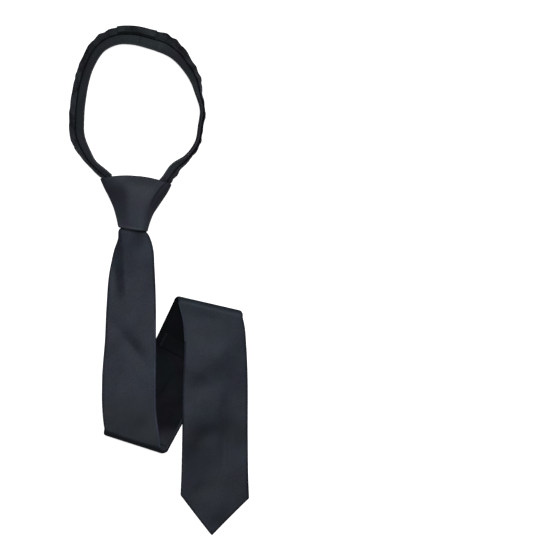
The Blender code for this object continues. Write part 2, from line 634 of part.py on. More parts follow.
def stretch(start, end):
    """Sections of the strap between two distances along it: place, direction, lean, lift and fullness. Between its
    ends they lie at the same steps on every piece, so that one piece follows the next round a bend."""
    x, y, rows_at = loop_rows()
    steps = np.arange(0.0, rows_at[-1], LOOP_STEP)
    inside = steps[(steps > start + LOOP_STEP / 3) & (steps < end - LOOP_STEP / 3)]
    at = np.concatenate([[start], inside, [end]])
    nudge = 0.5
    before, after = np.clip(at - nudge, 0.0, rows_at[-1]), np.clip(at + nudge, 0.0, rows_at[-1])
    run = np.stack([curve(rows_at, x, after) - curve(rows_at, x, before),
                    curve(rows_at, y, after) - curve(rows_at, y, before)], axis=1)
    line = {"at": at, "x": curve(rows_at, x, at), "y": curve(rows_at, y, at),
            "run": run / np.linalg.norm(run, axis=1, keepdims=True)}
    for name in ("lean", "lift", "full"):
        line[name] = smooth(rows_at, column(LOOP_RUN, LOOP_COLUMNS, name), at)
    return line


def strap_frame(line):
    """At each section: the seam's place, the direction out to the cover's edge, and the one out of its face."""
    away = np.stack([-line["run"][:, 1], line["run"][:, 0], np.zeros(len(line["at"]))], axis=1)
    lean = np.radians(line["lean"])[:, None]
    up = np.array([[0.0, 0.0, 1.0]])
    outward = away * np.cos(lean) - up * np.sin(lean)
    face = away * np.sin(lean) + up * np.cos(lean)
    half_thick = COVER_THICK / 2 * line["full"] + GATHER_THICK
    reach = COVER_OUT * line["full"] + GATHER_OUT - half_thick
    seam_high = line["lift"] + half_thick + reach * np.sin(lean[:, 0])
    seam = np.stack([line["x"], line["y"], seam_high], axis=1)
    return seam, outward, face


def along_strap(line, profile):
    """Rings of a profile carried along a stretch of the strap. The profile gives each section's places, out from
    the seam and up from the strap's face."""
    seam, outward, face = strap_frame(line)
    rings = []
    for number in range(len(seam)):
        places = profile(number)
        rings.append(seam[number] + places[:, :1] * outward[number] + places[:, 1:] * face[number])
    return np.array(rings)


def cover_profile(full, gather, proud=0.0):
    """A folded cover open toward the tape: round outer edge, two lips, and a slot between them."""
    half = COVER_THICK / 2 * full + proud + GATHER_THICK * gather
    out = COVER_OUT * full + proud + GATHER_OUT * gather
    turns = np.radians([90, 50, 15, -15, -50, -90])  # round the folded edge
    slot = SLOT_THICK / 2 * min(1.0, full + SLOT_EXTRA)
    edge = np.stack([out - half + half * np.cos(turns), half * np.sin(turns)], axis=1)
    lip = -COVER_LIP * full
    lip_half = LIP_ROUND * half
    lips = [(lip, -lip_half), (lip, -slot), (SLOT_DEEP, -slot), (SLOT_DEEP, slot), (lip, slot), (lip, lip_half)]
    return np.concatenate([edge, lips])


def gathers(at):
    """How far each section is gathered out, from -1 to 1: waves of uneven length and height."""
    turn = 2 * np.pi * at
    wave = np.sin(turn / GATHER_WAVE + GATHER_DRIFT * np.sin(turn / GATHER_DRIFT_LONG))
    return wave * (1.0 - GATHER_FADE + GATHER_FADE * np.sin(turn / GATHER_FADE_LONG))


def cover(name, start, end, material):
    line = stretch(start, end)
    gather = gathers(line["at"])
    return tube(name, along_strap(line, lambda n: cover_profile(line["full"][n], gather[n])), material)


def neck_joint(start, end, material):
    line = stretch(start, end)
    return tube("neck_joint", along_strap(line, lambda n: cover_profile(line["full"][n], 0.0, JOINT_PROUD)), material)


def tape(name, start, end, material):
    line = stretch(start, end)

    def profile(number):
        inner, half = -TAPE_IN * line["full"][number], TAPE_THICK / 2 * line["full"][number]
        return np.array([(TAPE_TUCK, half), (TAPE_TUCK, -half), (inner, -half), (inner, half)])
    return tube(name, along_strap(line, profile), material)


def coil(name, start, end, material):
    line = stretch(start, end)
    turns = 2 * np.pi * np.arange(COIL_SIDES) / COIL_SIDES

    def profile(number):
        return np.stack([COIL_AT[0] * line["full"][number] + COIL_RADIUS * np.cos(turns),
                         COIL_AT[1] + COIL_RADIUS * np.sin(turns)], axis=1)
    return tube(name, along_strap(line, profile), material)


def neck_loop(cloth, tape_cloth, coil_plastic):
    """The two covers, the joint between them at the nape, and under them the two tapes with their coils."""
    rows_at = loop_rows()[2]
    joint_from, joint_to = (rows_at[named_row(LOOP_RUN, name)] for name in ("joint_left", "joint_right"))
    meet = joint_from + TAPE_MEETS * (joint_to - joint_from)
    cover("cover_left", 0.0, joint_from - GAP, cloth)
    neck_joint(joint_from, joint_to, cloth)
    cover("cover_right", joint_to + GAP, rows_at[-1], cloth)
    for side, start, end in (("left", 0.0, meet - GAP / 2), ("right", meet + GAP / 2, rows_at[-1])):
        tape("tape_" + side, start, end, tape_cloth)
        coil("coil_" + side, start, end, coil_plastic)


def zip_slider(material):
    wide, long, thick = SLIDER_SIZE
    cut = SLIDER_CORNER
    corners = np.array([(-0.5, -cut), (-cut, -0.5), (cut, -0.5), (0.5, -cut), (0.5, cut), (cut, 0.5), (-cut, 0.5),
                        (-0.5, cut)])
    levels = ((-0.5, SLIDER_TOP), (-cut, 1.0), (cut, 1.0), (0.5, SLIDER_TOP))
    rings = [np.column_stack([corners[:, 0] * wide * grow, corners[:, 1] * long * grow,
                              np.full(len(corners), level * thick)]) for level, grow in levels]
    middle = np.array([*SLIDER_PLACE, KNOT_WALL + SLIDER_LIFT + thick / 2])
    return tube("zip_slider", np.array(rings) + middle, material)


def zip_tail(material):
    y_rows = -column(TAIL_RUN, TAIL_COLUMNS, "y")
    upper = named_row(TAIL_RUN, "upper")
    steps = np.concatenate([y_rows[:upper], np.linspace(y_rows[upper], y_rows[-1], TAIL_SECTIONS)])
    x = curve(y_rows, column(TAIL_RUN, TAIL_COLUMNS, "x"), steps)
    half = smooth(y_rows, column(TAIL_RUN, TAIL_COLUMNS, "wide"), steps) / 2
    lift = smooth(y_rows, column(TAIL_RUN, TAIL_COLUMNS, "lift"), steps)
    rings = []
    for middle, along, h, z in zip(x, steps, half, lift):
        chain = CHAIN_WIDE / 2
        outline = [(-h, 0.0), (h, 0.0), (h, TAIL_THICK), (chain + CHAIN_SLOPE, TAIL_THICK), (chain, CHAIN_THICK),
                   (-chain, CHAIN_THICK), (-chain - CHAIN_SLOPE, TAIL_THICK), (-h, TAIL_THICK)]
        rings.append([(middle + across, -along, z + up) for across, up in outline])
    return tube("zip_tail", np.array(rings), material)


def main():
    clear_scene()
    cloth = finish("navy_ribbed_cloth", NAVY_CLOTH, 0.55)
    cover_cloth = finish("gathered_cloth", DARK_CLOTH, 0.6)
    lining = finish("black_lining", LINING_BLACK, 0.45)
    tape_cloth = finish("zip_tape", TAPE_NAVY, 0.6)
    coil_plastic = finish("zip_coil", COIL_NAVY, 0.35)
    slider_metal = finish("slider_enamel", SLIDER_GREY, 0.4, 0.6)
    knot(cloth)
    blade(cloth)
    back_lining(lining)
    keeper_loop(lining)
    neck_loop(cover_cloth, tape_cloth, coil_plastic)
    zip_slider(slider_metal)
    zip_tail(tape_cloth)


main()
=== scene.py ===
"""The looks of a zipper tie that lies face up on a table with its blade folded twice.

Tables and constants are in millimetres, apart from the stage's, and a mesh is made in metres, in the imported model's
frame: X to the right, Y from the blade's tip to the neck loop, Z up from the table. Every piece is a surface worked
out as whole arrays: a run of sections carried along the blade, the knot or the strap of the neck loop.
"""

import json
import math

import bpy
import numpy as np
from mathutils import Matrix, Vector

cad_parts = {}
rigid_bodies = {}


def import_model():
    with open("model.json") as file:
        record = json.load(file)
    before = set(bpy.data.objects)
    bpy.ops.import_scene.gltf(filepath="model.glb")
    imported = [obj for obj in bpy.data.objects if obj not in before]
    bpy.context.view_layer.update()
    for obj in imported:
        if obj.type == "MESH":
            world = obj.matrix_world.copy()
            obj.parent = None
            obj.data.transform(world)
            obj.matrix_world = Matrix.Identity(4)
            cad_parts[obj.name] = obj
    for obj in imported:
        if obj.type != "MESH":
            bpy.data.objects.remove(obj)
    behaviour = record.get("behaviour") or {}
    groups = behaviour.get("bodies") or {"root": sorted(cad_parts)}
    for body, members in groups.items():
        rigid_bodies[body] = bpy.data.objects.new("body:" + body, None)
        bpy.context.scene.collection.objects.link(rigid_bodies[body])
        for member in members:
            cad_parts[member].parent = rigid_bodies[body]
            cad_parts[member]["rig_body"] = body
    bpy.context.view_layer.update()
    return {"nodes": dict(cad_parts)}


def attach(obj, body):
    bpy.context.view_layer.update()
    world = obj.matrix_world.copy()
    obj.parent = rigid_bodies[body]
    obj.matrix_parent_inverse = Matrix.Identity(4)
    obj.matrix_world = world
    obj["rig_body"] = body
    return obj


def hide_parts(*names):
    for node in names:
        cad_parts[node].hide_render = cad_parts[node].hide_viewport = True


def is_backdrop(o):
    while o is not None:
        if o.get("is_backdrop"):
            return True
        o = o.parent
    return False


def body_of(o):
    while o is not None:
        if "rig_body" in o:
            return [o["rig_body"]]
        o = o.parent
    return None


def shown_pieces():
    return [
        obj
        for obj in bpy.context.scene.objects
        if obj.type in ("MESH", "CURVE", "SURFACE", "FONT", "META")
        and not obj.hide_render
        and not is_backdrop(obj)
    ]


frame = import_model()

bl_info = {
    "name": "Zipper tie",
    "version": (1, 0, 0),
    "blender": (4, 5, 0),
    "location": "3D View > Sidebar > Tie",
    "description": "Dresses a zipper tie: folded blade, knot, gathered neck loop, zip and stitching",
    "category": "Object",
}

MM = 0.001

# The blade
GAP = 0.3  # left between pieces that touch
SLIT = 0.01  # left between the ends of two pieces that are sewn together
BLADE_THICK = 2.6
BLADE_COLUMNS = 34  # columns of faces across the flat of the blade
FRONT_ROWS, BACK_ROWS, TIP_ROWS, POINT_ROWS = 170, 100, 140, 28  # sections of each run, and of the point
EDGE_ROUND = 2.2  # how far in from its edge the blade reaches full thickness
EDGE_MOST = 0.45  # most of the half width that the rounding takes
EDGE_TURNS = (0.0, 20.0, 38.0, 54.0, 68.0, 80.0)  # degrees round a strip's edge where it has points
EDGE_DROOP, DROOP_GROWS = 1.1, 2.0  # how far held-up edges hang, and the rise over which they come to hang fully
FOLD_RADIUS = 3.1  # of the blade's middle layer where it folds over
FOLD_STEP = 12.0  # degrees from one section round a fold to the next
FOLD_EASE = 34.0  # length over which a folded layer settles after the fold
FOLD_SIDE = 20  # sections from a fold to the one that shows on which side of it the strip lies
TIP_FALLS = 0.8  # share of the last run's lift that falls off at once from its fold
SETTLE_ROWS = 15  # sections over which puckers and dents grow beside a fold
BRIDGE, BRIDGE_FROM = 34.0, 1.0  # width over which a layer comes down beside the one beneath, and where it starts
CROSS_SOFT = 0.5  # rounding where two heights cross
HIGHLIGHT_COLUMNS = 4  # columns of faces from the edge in, with a painted highlight along the cloth's edge
HIGHLIGHT_FRONT, HIGHLIGHT_TIP = (-28.0, -125.0), (-10.0, -46.0)  # Y between which each run has the painted edge highlight
TIP_POINT = (39.6, -189.7)
TIP_BLUNT = 1.0  # width left at the point
TIP_THIN = 0.3  # share of the thickness left there

# The lining and the keeper
LINING_THICK = 0.6
LINING_INSET = 2.6  # the lining stops this far inside the blade's edge
LINING_FROM_FOLD = 2.0
LINING_TO_EDGE = -66.0  # above this Y the back is lining out to its left edge
LINING_ROWS, LINING_COLUMNS = 200, 90
SEAM_WIDE, SEAM_DIPS = 0.7, 0.8  # width of the seam down the lining, and the share of the thickness that it dips
PANEL_STEP, PANEL_STEP_WIDE = 0.08, 0.6  # how much lower the right panel lies, and over what width
LINING_TUCK = ((0.6, -84.2), (6.9, -74.2))  # a small fold in the lining
TUCK_HIGH, TUCK_SLOPE, TUCK_STEEP = 0.6, 3.0, 0.5  # its height, and how far it falls off on each side
TUCK_HALF, TUCK_FADES = 4.0, 4.0  # half its length, and the length over which it ends
KEEPER_THICK = 0.7
KEEPER_PLACE = (19.0, -52.2)
KEEPER_SIZE = (37.5, 11.0)
KEEPER_MARGIN = 1.0  # flat of the hump over the keeper, beyond each long edge
KEEPER_SOFT = 16.0  # width over which the layer above comes down beside the keeper
KEEPER_ROWS, KEEPER_COLUMNS = 24, 60
KEEPER_ENDS, KEEPER_END_ROUND = 0.02, 0.5  # how thick its long edges stay, as a width, and their rounding
KEEPER_HEM, HEM_LINE, HEM_LINE_WIDE = 0.12, 1.3, 0.35  # depth of the line beside its hem, its place and its width
LAYER = BLADE_THICK + GAP + LINING_THICK + GAP  # a layer above the lining has its underside here

# The crease under the knot
DIMPLE_DEEP = 2.7
DIMPLE_LEFT = 9.0  # how far its slope reaches from its line
DIMPLE_STEADY = 1.35  # above 1, how much more gently the slope goes on from its line
DIMPLE_FROM, DIMPLE_GROWS = 38.5, 6.0  # Y where it starts, and the length over which it deepens
DIMPLE_FADES, DIMPLE_LONG = 14.0, 40.0  # Y where it starts to fade, and the length over which it does
MOUTH_TWIST = 2.2  # how far the blade's right side dips under the knot
TWIST_FROM, TWIST_LONG = 12.0, 22.0  # Y where the dip starts, and the length over which it grows
TWIST_ENDS, TWIST_STOPS = 39.5, 3.0  # Y where it has ended, and the length over which it does
TWIST_SIDE = 0.4  # share of the half width left of the middle, where the dip starts

# The neck loop, across the strap: the seam between cover and tape is at 0
COVER_OUT = 6.8  # seam to the cover's outer edge
COVER_LIP = 0.9  # how far the cover reaches over the tape beyond the seam
COVER_THICK = 3.6
COVER_STEP, COVER_PLACES, COVER_TURN = 0.42, 11, 10.0  # sections, places across a face, degrees round the edge
COVER_FULL, GATHER_FULL = 6.0, 1.5  # one over the shares of a face where it and its gathers reach full height
LIP_LEFT = 0.92  # share of the cover's half thickness left at its lips
SLOT_DEEP, SLOT_THICK = 3.0, 1.7  # the tape goes into the cover here
SLOT_EXTRA = 0.12  # how much fuller the slot stays than the strap where it narrows
GROOVE_SHADE_COLUMNS = 5  # columns of faces in the slot and beside it, with painted shade in the groove where the cover's lip meets the tape
LEAST_HIGH = 0.02  # of a gather above the table
TAPE_IN = 9.0  # seam to the tape's inner edge
TAPE_TUCK = 2.5  # part of the tape inside the cover
TAPE_THICK = 0.9
TAPE_STEP, TAPE_PLACES = 0.8, 22
TAPE_ROUND, TAPE_LEAST = 0.35, 0.04  # of its inner edge, and the square of the least share of thickness there
CORD_HIGH, CORD_IN, CORD_WIDE = 0.1, 2.1, 0.4  # the raised cord along the tape's inner edge
TAPE_MEETS = 0.62  # share of the joint's length where the two tapes meet
COIL_AT = (-6.3, -1.2)  # close behind the tape
COIL_REACH = (0.62, 0.42)  # half the coil's width and half its thickness, to the wire's middle
COIL_STEPS, COIL_SIDES = 12, 5  # of a turn, and round the wire
COIL_SWELLS = 0.3  # how much thicker the wire is where the coils mesh
GATHER_WAVE = 9.4  # mean length of one gather along the strap
GATHER_DRIFT, GATHER_DRIFT_LONG = 1.3, 41.0  # how unevenly the gathers are spaced, and over what length
GATHER_FADE, GATHER_FADE_LONG = 0.3, 27.0  # how much their height varies, and over what length
GATHER_OUT = 0.5  # how far a gather stands out of the cover's edge
GATHER_THICK = 0.35
EDGE_GATHER = 0.4  # share of the small gathers' height that stands out of the cover's edge
PLEAT_LEAN = 0.5  # how far the small gathers lean along the strap
PLEAT_DRIFTS = ((1.3, 6.1, 1.0), (0.8, 2.9, 2.0))  # how unevenly they are spaced: how much, how long, which start
PLEAT_VARIES, PLEAT_VARIES_LONG, PLEAT_VARIES_START = 0.45, 4.3, 3.0  # and how unevenly high they are
PLEAT_SHARP = 0.7  # below 1, how much sharper their valleys are than their ridges
PLEAT_LEVEL = 0.35  # of the small gathers, at the cover's own surface
PLEAT_UNDER = 0.35  # how their start differs on the underside
RIGHT_START = 1.7  # and on the right cover
CALM_SHARE, CALM_TO, CALM_EASE = 0.65, 118.0, 30.0  # how the left cover's gathers calm down toward the knot
JOINT_PROUD = 0.55  # how far the joint stands out over the covers
JOINT_PITCH, JOINT_HIGH = 9.0, 0.08  # of its few gathers
JOINT_SHADE_COLUMNS = 3  # columns of its face with painted shade along its lip

# The knot
KNOT_ROWS, KNOT_SIDES = 110, 220
KNOT_WALL = 1.3
KNOT_LIP, KNOT_LIP_OUT = (0.15, 0.45, 0.85), 0.5  # shares of the wall round its lip, and how far the lip stands out
KNOT_WIDEST = 0.36  # share of its height where a section is widest
KNOT_BACK_SQUARE = 6.0  # how square the flat back's corners are
MOUTH_TOP_MID, MOUTH_TOP_CORNER = 2.0, 7.0  # depth of the upper mouth in its middle, and where the straps go in
MOUTH_STRAP_FROM, MOUTH_STRAP_EASE = 0.4, 0.25  # shares of the half width where it starts to deepen, and over which
MOUTH_TAPER = 0.5  # how much it narrows for each millimetre of its depth
MOUTH_BOTTOM = 11.0
PANEL_LEFT = 0.30  # share of the half width where the front panel turns into the left flank
FLANK_SOFT = 0.16  # share of the half width over which the front panel turns into the flank
FLANK_KEEPS = 0.5  # least share of its rise that a flank keeps
PLEAT_DROP, PLEAT_WIDE = 1.2, 1.6  # the step beside the wrap's folded edge, and its width
PLEAT_FROM, PLEAT_SOFT = 0.5, 3.0  # share of the height where it starts, and the height over which it grows
HEM_HIGH, HEM_AT, HEM_WIDE = 0.32, 0.5, 0.55  # the rolled edge at the knot's lower mouth

# The closed zip under the blade
TAIL_ROWS = 110
TAIL_THICK = 1.0
TAIL_GROOVE, TAIL_GROOVE_WIDE = 0.75, 0.35  # depth of the groove where its tapes meet, as a share, and its width
TAIL_ROUND = 0.5
TAIL_LEAST = 0.02  # how far beyond its edge it would thin to nothing
# Places across it, as first, last and count of each stretch, closer together at the groove
TAIL_PLACES = ((-1.0, -0.12, 16), (-0.08, 0.08, 7), (0.12, 1.0, 16))
TAIL_COIL_ROWS = 200
TAIL_WIRE = 0.28
TAIL_COIL_OUT, TAIL_COIL_HIGH = 0.75, 0.35  # middle of each coil from the zip's middle, and above its tape
TAIL_COIL_REACH = (1.0, 0.3)  # half the coil's width and half its thickness, to the wire's middle

# The stitches
STITCH_ROWS, STITCH_SIDES = 5, 6  # of faces on one stitch
STITCH_FROM_KNOT = 4.0
TOPSTITCH_OUT, TOPSTITCH_UP, TOPSTITCH_PITCH = 1.1, 0.9, 2.9  # place on the cover, its height as a share, and pitch
TAPE_STITCH_OUT, TAPE_STITCH_UP = (-6.3, -7.4), 0.03  # places of the tape's two rows, and height above its face
TAPE_STITCH_LONG, TAPE_STITCH_THREAD = 0.9, 0.12
TACKS, TACK_LONG = 9, 2.0  # at each end of the keeper
TACK_IN, TACK_FROM_EDGE = 1.5, 0.8  # from its ends, and from its long edges


def table(columns, *rows):
    """A table as its columns: an array under each one's name, and under row the rows' own names, which come first."""
    names, *values = zip(*rows)
    return {"row": names, **{name: np.array(value, float) for name, value in zip(columns.split(), values)}}


# The blade's sections: place of the middle, width along the section, the section's slope in degrees, thickness, and
# height of the middle above the table
FRONT_RUN = table(
    "x y wide slope thick rise",
    ("in_knot", -18.2, 47.4, 16.0, -8.8, 5.2, 9.0),
    ("knot_mouth", -18.8, 38.2, 16.8, -8.6, 5.8, 9.2),
    ("under_knot", -18.4, 35.8, 21.4, -8.4, 5.8, 9.1),
    ("neck", -17.5, 30.6, 24.0, -4.0, 5.3, 8.4),
    ("flare", -18.1, 23.4, 28.6, -1.0, 4.6, 7.2),
    ("upper", -19.5, 9.0, 33.3, 0.0, 3.6, 5.4),
    ("middle", -20.3, -20.1, 37.0, 0.0, 2.9, 4.5),
    ("lower", -20.8, -43.0, 38.1, 0.0, BLADE_THICK, 4.1),
    ("waist", -22.0, -74.5, 40.2, 0.0, BLADE_THICK, BLADE_THICK / 2),
    ("foot", -21.7, -96.0, 40.2, -2.5, BLADE_THICK, BLADE_THICK / 2),
    ("fold", -19.1, -117.2, 43.8, -17.8, BLADE_THICK, BLADE_THICK / 2),
)
CREASE_LINE = table("x y", ("mouth", -28.0, 37.0), ("neck", -26.0, 30.0), ("upper", -25.7, 8.0),
                    ("end", -24.0, -16.0))
BACK_RUN = table(
    "x y wide slope",
    ("lower_fold", -15.9, -118.8, 48.8, -17.8),
    ("crossing", 9.4, -73.0, 47.6, -15.5),
    ("upper_fold", 35.4, -21.0, 49.4, -13.0),
)
TIP_RUN = table(
    "x y wide slope",
    ("fold", 38.7, -22.0, 49.2, -12.9),
    ("after_fold", 40.9, -31.4, 46.8, -6.9),
    ("upper", 42.2, -46.2, 46.1, -2.0),
    ("middle", 42.2, -74.5, 48.3, 0.0),
    ("lower", 42.0, -116.0, 48.8, 0.0),
    ("near_tip", 41.8, -149.0, 50.1, -1.0),
    ("corners", 41.8, -161.2, 51.2, -2.7),
)

# The knot's sections from its lower mouth up: middle, half width, slope, height, squareness, bow of the middle,
# share of the half width where the wrap folds under on the right, and how steeply the flanks fall
KNOT_RUN = table(
    "x y half slope high square bow fold_at flank",
    ("lower_mouth", -18.9, 38.0, 10.95, -8.8, 16.3, 4.0, -0.6, 1.10, 0.30),
    ("waist", -18.6, 45.2, 12.8, -7.8, 18.4, 3.2, 0.0, 0.98, 0.66),
    ("lower", -18.35, 51.1, 14.85, -8.2, 19.7, 3.1, 0.6, 0.90, 0.74),
    ("middle", -17.6, 58.1, 18.6, -6.9, 20.4, 3.2, 1.4, 0.72, 0.75),
    ("upper", -16.7, 67.0, 23.75, -4.5, 19.0, 3.4, 3.0, 0.77, 0.34),
    ("upper_mouth", -16.6, 72.6, 26.45, -4.4, 16.4, 4.6, 4.0, 0.86, 0.0),
)

# The neck loop's seam line, from the knot's left corner round to its right: place, lean of the strap from lying
# flat, lift of its lower edge, and how full the strap is
LOOP_RUN = table(
    "x y lean lift full",
    ("left_in_knot", -36.2, 74.5, 58, 2.3, 0.72),
    ("left_mouth", -40.6, 78.4, 60, 2.3, 0.76),
    ("left_low", -48.2, 85.3, 70, 0.9, 0.92),
    ("left_bend", -54.3, 93.7, 59, 0.0, 1.0),
    ("left_side", -60.7, 107.4, 44, 0.0, 1.0),
    ("left_mid", -61.1, 120.8, 42, 0.0, 1.0),
    ("left_high", -59.4, 137.6, 42, 0.0, 1.0),
    ("left_pinch", -57.5, 147.1, 43, 0.0, 1.0),
    ("left_shoulder", -53.5, 159.8, 42, 0.0, 1.0),
    ("left_crown", -43.3, 175.8, 35, 0.0, 1.0),
    ("joint_left", -29.8, 182.2, 29, 0.15, 1.0),
    ("top_mid", -19.6, 182.5, 26, 0.15, 1.0),
    ("joint_right", -2.6, 178.8, 21, 0.15, 1.0),
    ("right_top", 2.1, 177.7, 13, 0.0, 1.0),
    ("right_crown", 12.5, 171.1, 34, 0.0, 1.0),
    ("right_shoulder", 21.6, 160.0, 53, 0.0, 1.0),
    ("right_high", 27.9, 148.6, 65, 0.0, 1.0),
    ("right_pinch", 30.2, 138.4, 80, 0.0, 1.0),
    ("right_mid", 33.0, 125.3, 88, 0.0, 1.0),
    ("right_side", 31.6, 114.6, 89, 0.0, 1.0),
    ("right_turn", 29.2, 101.6, 88, 0.0, 1.0),
    ("right_bend", 21.8, 90.8, 83, 0.3, 0.86),
    ("right_low", 12.9, 82.9, 66, 1.2, 0.95),
    ("right_mouth", 6.2, 73.8, 61, 2.3, 0.8),
    ("right_in_knot", 2.2, 69.6, 60, 2.3, 0.74),
)

# The closed zip under the blade: middle, width and height of its underside above the table
TAIL_RUN = table(
    "x y wide lift",
    ("at_slider", -19.1, 38.6, 13.4, 1.9),
    ("knot_edge", -19.2, 36.4, 14.6, 1.5),
    ("below_knot", -19.1, 31.0, 18.0, 0.3),
    ("upper", -19.3, 24.0, 20.0, 0.0),
    ("middle", -20.2, -8.0, 20.0, 0.0),
    ("end", -20.9, -46.0, 20.0, 0.0),
)

# Slow unevenness of the pressed cloth, in rows: height, length along the strip, length across it, and start
PUCKERS = (
    (0.16, 61.0, 95.0, 0.4),
    (0.12, 37.0, -52.0, 2.1),
    (0.07, 23.0, 31.0, 4.4),
    (0.05, 90.0, 17.0, 1.3),
)

# Soft dents and humps of the blade's upper face, in rows: name, place, half length, half width, the long way's
# turn in degrees, and height
DENTS = (
    ("crease_side", -31.0, 3.0, 16.0, 4.0, 92.0, -0.72),
    ("upper_light", -13.0, -6.0, 14.0, 7.0, 80.0, 0.45),
    ("slant_dent", -20.5, -49.5, 20.0, 4.2, -52.0, -0.98),
    ("slant_hump", -12.0, -44.0, 17.0, 4.6, -55.0, 0.45),
    ("low_left", -36.5, -99.0, 7.0, 6.0, 20.0, -0.78),
    ("low_right", -11.0, -110.0, 6.0, 7.0, 70.0, -0.78),
    ("low_middle", -24.0, -86.0, 10.0, 7.0, -20.0, 0.52),
    ("under_fold", 40.0, -29.0, 24.0, 4.5, -14.0, -0.35),
    ("upper_swell", 42.0, -58.0, 30.0, 13.0, 0.0, 0.80),
    ("lower_swell", 48.0, -100.0, 20.0, 11.0, 0.0, 0.55),
    ("fold_shine", 24.0, -38.0, 6.0, 5.0, 10.0, 0.52),
    ("upper_right", 46.0, -47.0, 18.0, 7.0, 88.0, 0.52),
    ("mid_dent", 31.0, -80.0, 8.0, 7.0, 60.0, -0.65),
    ("mid_ridge", 45.0, -90.0, 13.0, 5.0, 75.0, 0.45),
    ("low_dent", 35.0, -114.5, 9.0, 7.0, 30.0, -1.17),
    ("upright_dent", 48.8, -126.0, 15.0, 3.4, 88.0, -0.78),
    ("tip_dent", 33.5, -155.5, 9.0, 6.0, 40.0, -0.78),
    ("tip_hump", 44.0, -166.0, 12.0, 6.0, 60.0, 0.45),
)

# The picture: the camera looks straight down. The stage is in metres
PHOTO_MIDDLE = (0.0903, 0.0)  # the tie's frame under the middle of the photograph
CAMERA_HIGH = 1.738
CAMERA_LENS = 150.0
LIGHT_PLACE, LIGHT_AIM, LIGHT_SIZE = (0.12, 0.36, 1.28), (-0.02, 0.03, 0.0), 0.6
TABLE_REACH, TABLE_TOP = 3.0, -0.00005


def length(name, description, default, least, most):
    """A size that a user may change, given in millimetres and kept in metres."""
    return bpy.props.FloatProperty(name=name, description=description, default=default * MM, min=least * MM,
                                   max=most * MM, unit="LENGTH", precision=5)


def colour(name, description, default):
    """A colour that a user may change, as linear red, green and blue."""
    return bpy.props.FloatVectorProperty(name=name, description=description, default=default, subtype="COLOR", min=0,
                                         max=1)


class ZipperTieSizes(bpy.types.PropertyGroup):
    """Sizes of the cloth's, the zip's and the thread's fine detail"""

    rib_pitch: length("Rib pitch", "Distance between two diagonal ribs of the tie's cloth", 0.66, 0.2, 3)
    weave_pitch: length("Weave pitch", "Distance between two threads of the zip tape", 0.42, 0.2, 2)
    pleat_pitch: length("Pleat pitch", "Mean distance between two gathers of the neck loop's cover", 4.6, 2, 12)
    pleat_high: length("Pleat height", "How deep the gathers are", 0.32, 0, 1)
    coil_pitch: length("Coil pitch", "Distance between two turns of a zip coil", 0.85, 0.6, 3)
    wire: length("Coil wire", "Radius of the zip coil's wire", 0.36, 0.1, 0.6)
    stitch: length("Stitch length", "Length of one stitch of the neck loop's top stitching", 2.3, 1, 5)
    thread: length("Thread", "Radius of the sewing thread", 0.17, 0.05, 0.5)


class ZipperTieColours(bpy.types.PropertyGroup):
    """Colours of the finishes, and the strength of the studio's lights"""

    blade: colour("Blade cloth", "Colour of the blade's ribbed cloth", (0.0122, 0.0140, 0.0220))
    knot: colour("Knot cloth", "Colour of the knot's ribbed cloth", (0.0165, 0.0175, 0.0245))
    gathers: colour("Gathered cloth", "Colour of the neck loop's cover", (0.0215, 0.0240, 0.0285))
    lining: colour("Lining", "Colour of the blade's back", (0.0028, 0.0031, 0.0038))
    tape: colour("Zip tape", "Colour of the zip's woven tape", (0.0210, 0.0240, 0.0285))
    coil: colour("Zip coil", "Colour of the zip's nylon coil", (0.0150, 0.0165, 0.0205))
    thread: colour("Thread", "Colour of the sewing thread", (0.0070, 0.0080, 0.0100))
    slider: colour("Slider", "Colour of the zip slider's enamel", (0.020, 0.020, 0.024))
    sky: bpy.props.FloatProperty(
        name="Studio fill", description="Strength of the white surroundings", default=0.18, min=0, max=5)
    key: bpy.props.FloatProperty(
        name="Key light", description="Power of the large soft light above the tie",
        default=13.0, min=0, max=500, subtype="POWER", unit="POWER")


def hermite(knots, values, slopes, wanted):
    """Cubic pieces between knots, from the value and slope at each."""
    piece = np.clip(np.searchsorted(knots, wanted, side="right") - 1, 0, len(knots) - 2)
    width = knots[piece + 1] - knots[piece]
    t = (wanted - knots[piece]) / width
    return (
        (2 * t**3 - 3 * t**2 + 1) * values[piece]
        + (t**3 - 2 * t**2 + t) * width * slopes[piece]
        + (3 * t**2 - 2 * t**3) * values[piece + 1]
        + (t**3 - t**2) * width * slopes[piece + 1]
    )


def smooth(knots, values, wanted):
    """A cubic through the values that doesn't overshoot them: its slope is nothing at a peak or a hollow."""
    steps = np.diff(knots)
    rates = np.diff(values) / steps
    slopes = np.zeros(len(knots))
    same = rates[:-1] * rates[1:] > 0
    mean = (rates[:-1] * steps[1:] + rates[1:] * steps[:-1]) / (steps[:-1] + steps[1:])
    limit = 3.0 * np.minimum(np.abs(rates[:-1]), np.abs(rates[1:]))
    slopes[1:-1] = np.where(same, np.sign(mean) * np.minimum(np.abs(mean), limit), 0.0)
    slopes[0] = rates[0]
    slopes[-1] = rates[-1]
    return hermite(knots, values, slopes, wanted)


def curve(knots, values, wanted):
    """A cubic through the values with the mean slope at each knot, for places along a path."""
    return hermite(knots, values, np.gradient(values, knots), wanted)


def sections(run, knots, places):
    """A table's columns at places along it, where knots are its rows' own places. The middle's X bends evenly
    through the rows, and no other column overshoots them."""
    return {name: (curve if name == "x" else smooth)(knots, values, places)
            for name, values in run.items() if name != "row"}


def even_sections(run, count, held_back=0.0):
    """A table's columns at even steps on Y, short of both its ends by what is held back, and half its width."""
    y = run["y"]
    way = np.sign(y[-1] - y[0])
    places = np.linspace(way * y[0] + held_back, way * y[-1] - held_back, count)
    at = sections(run, way * y, places)
    return {**at, "y": way * places, "half": at["wide"] / 2}


def ramp(value):
    """0 below 0, 1 above 1, and a smooth S between."""
    t = np.clip(value, 0.0, 1.0)
    return t * t * (3.0 - 2.0 * t)


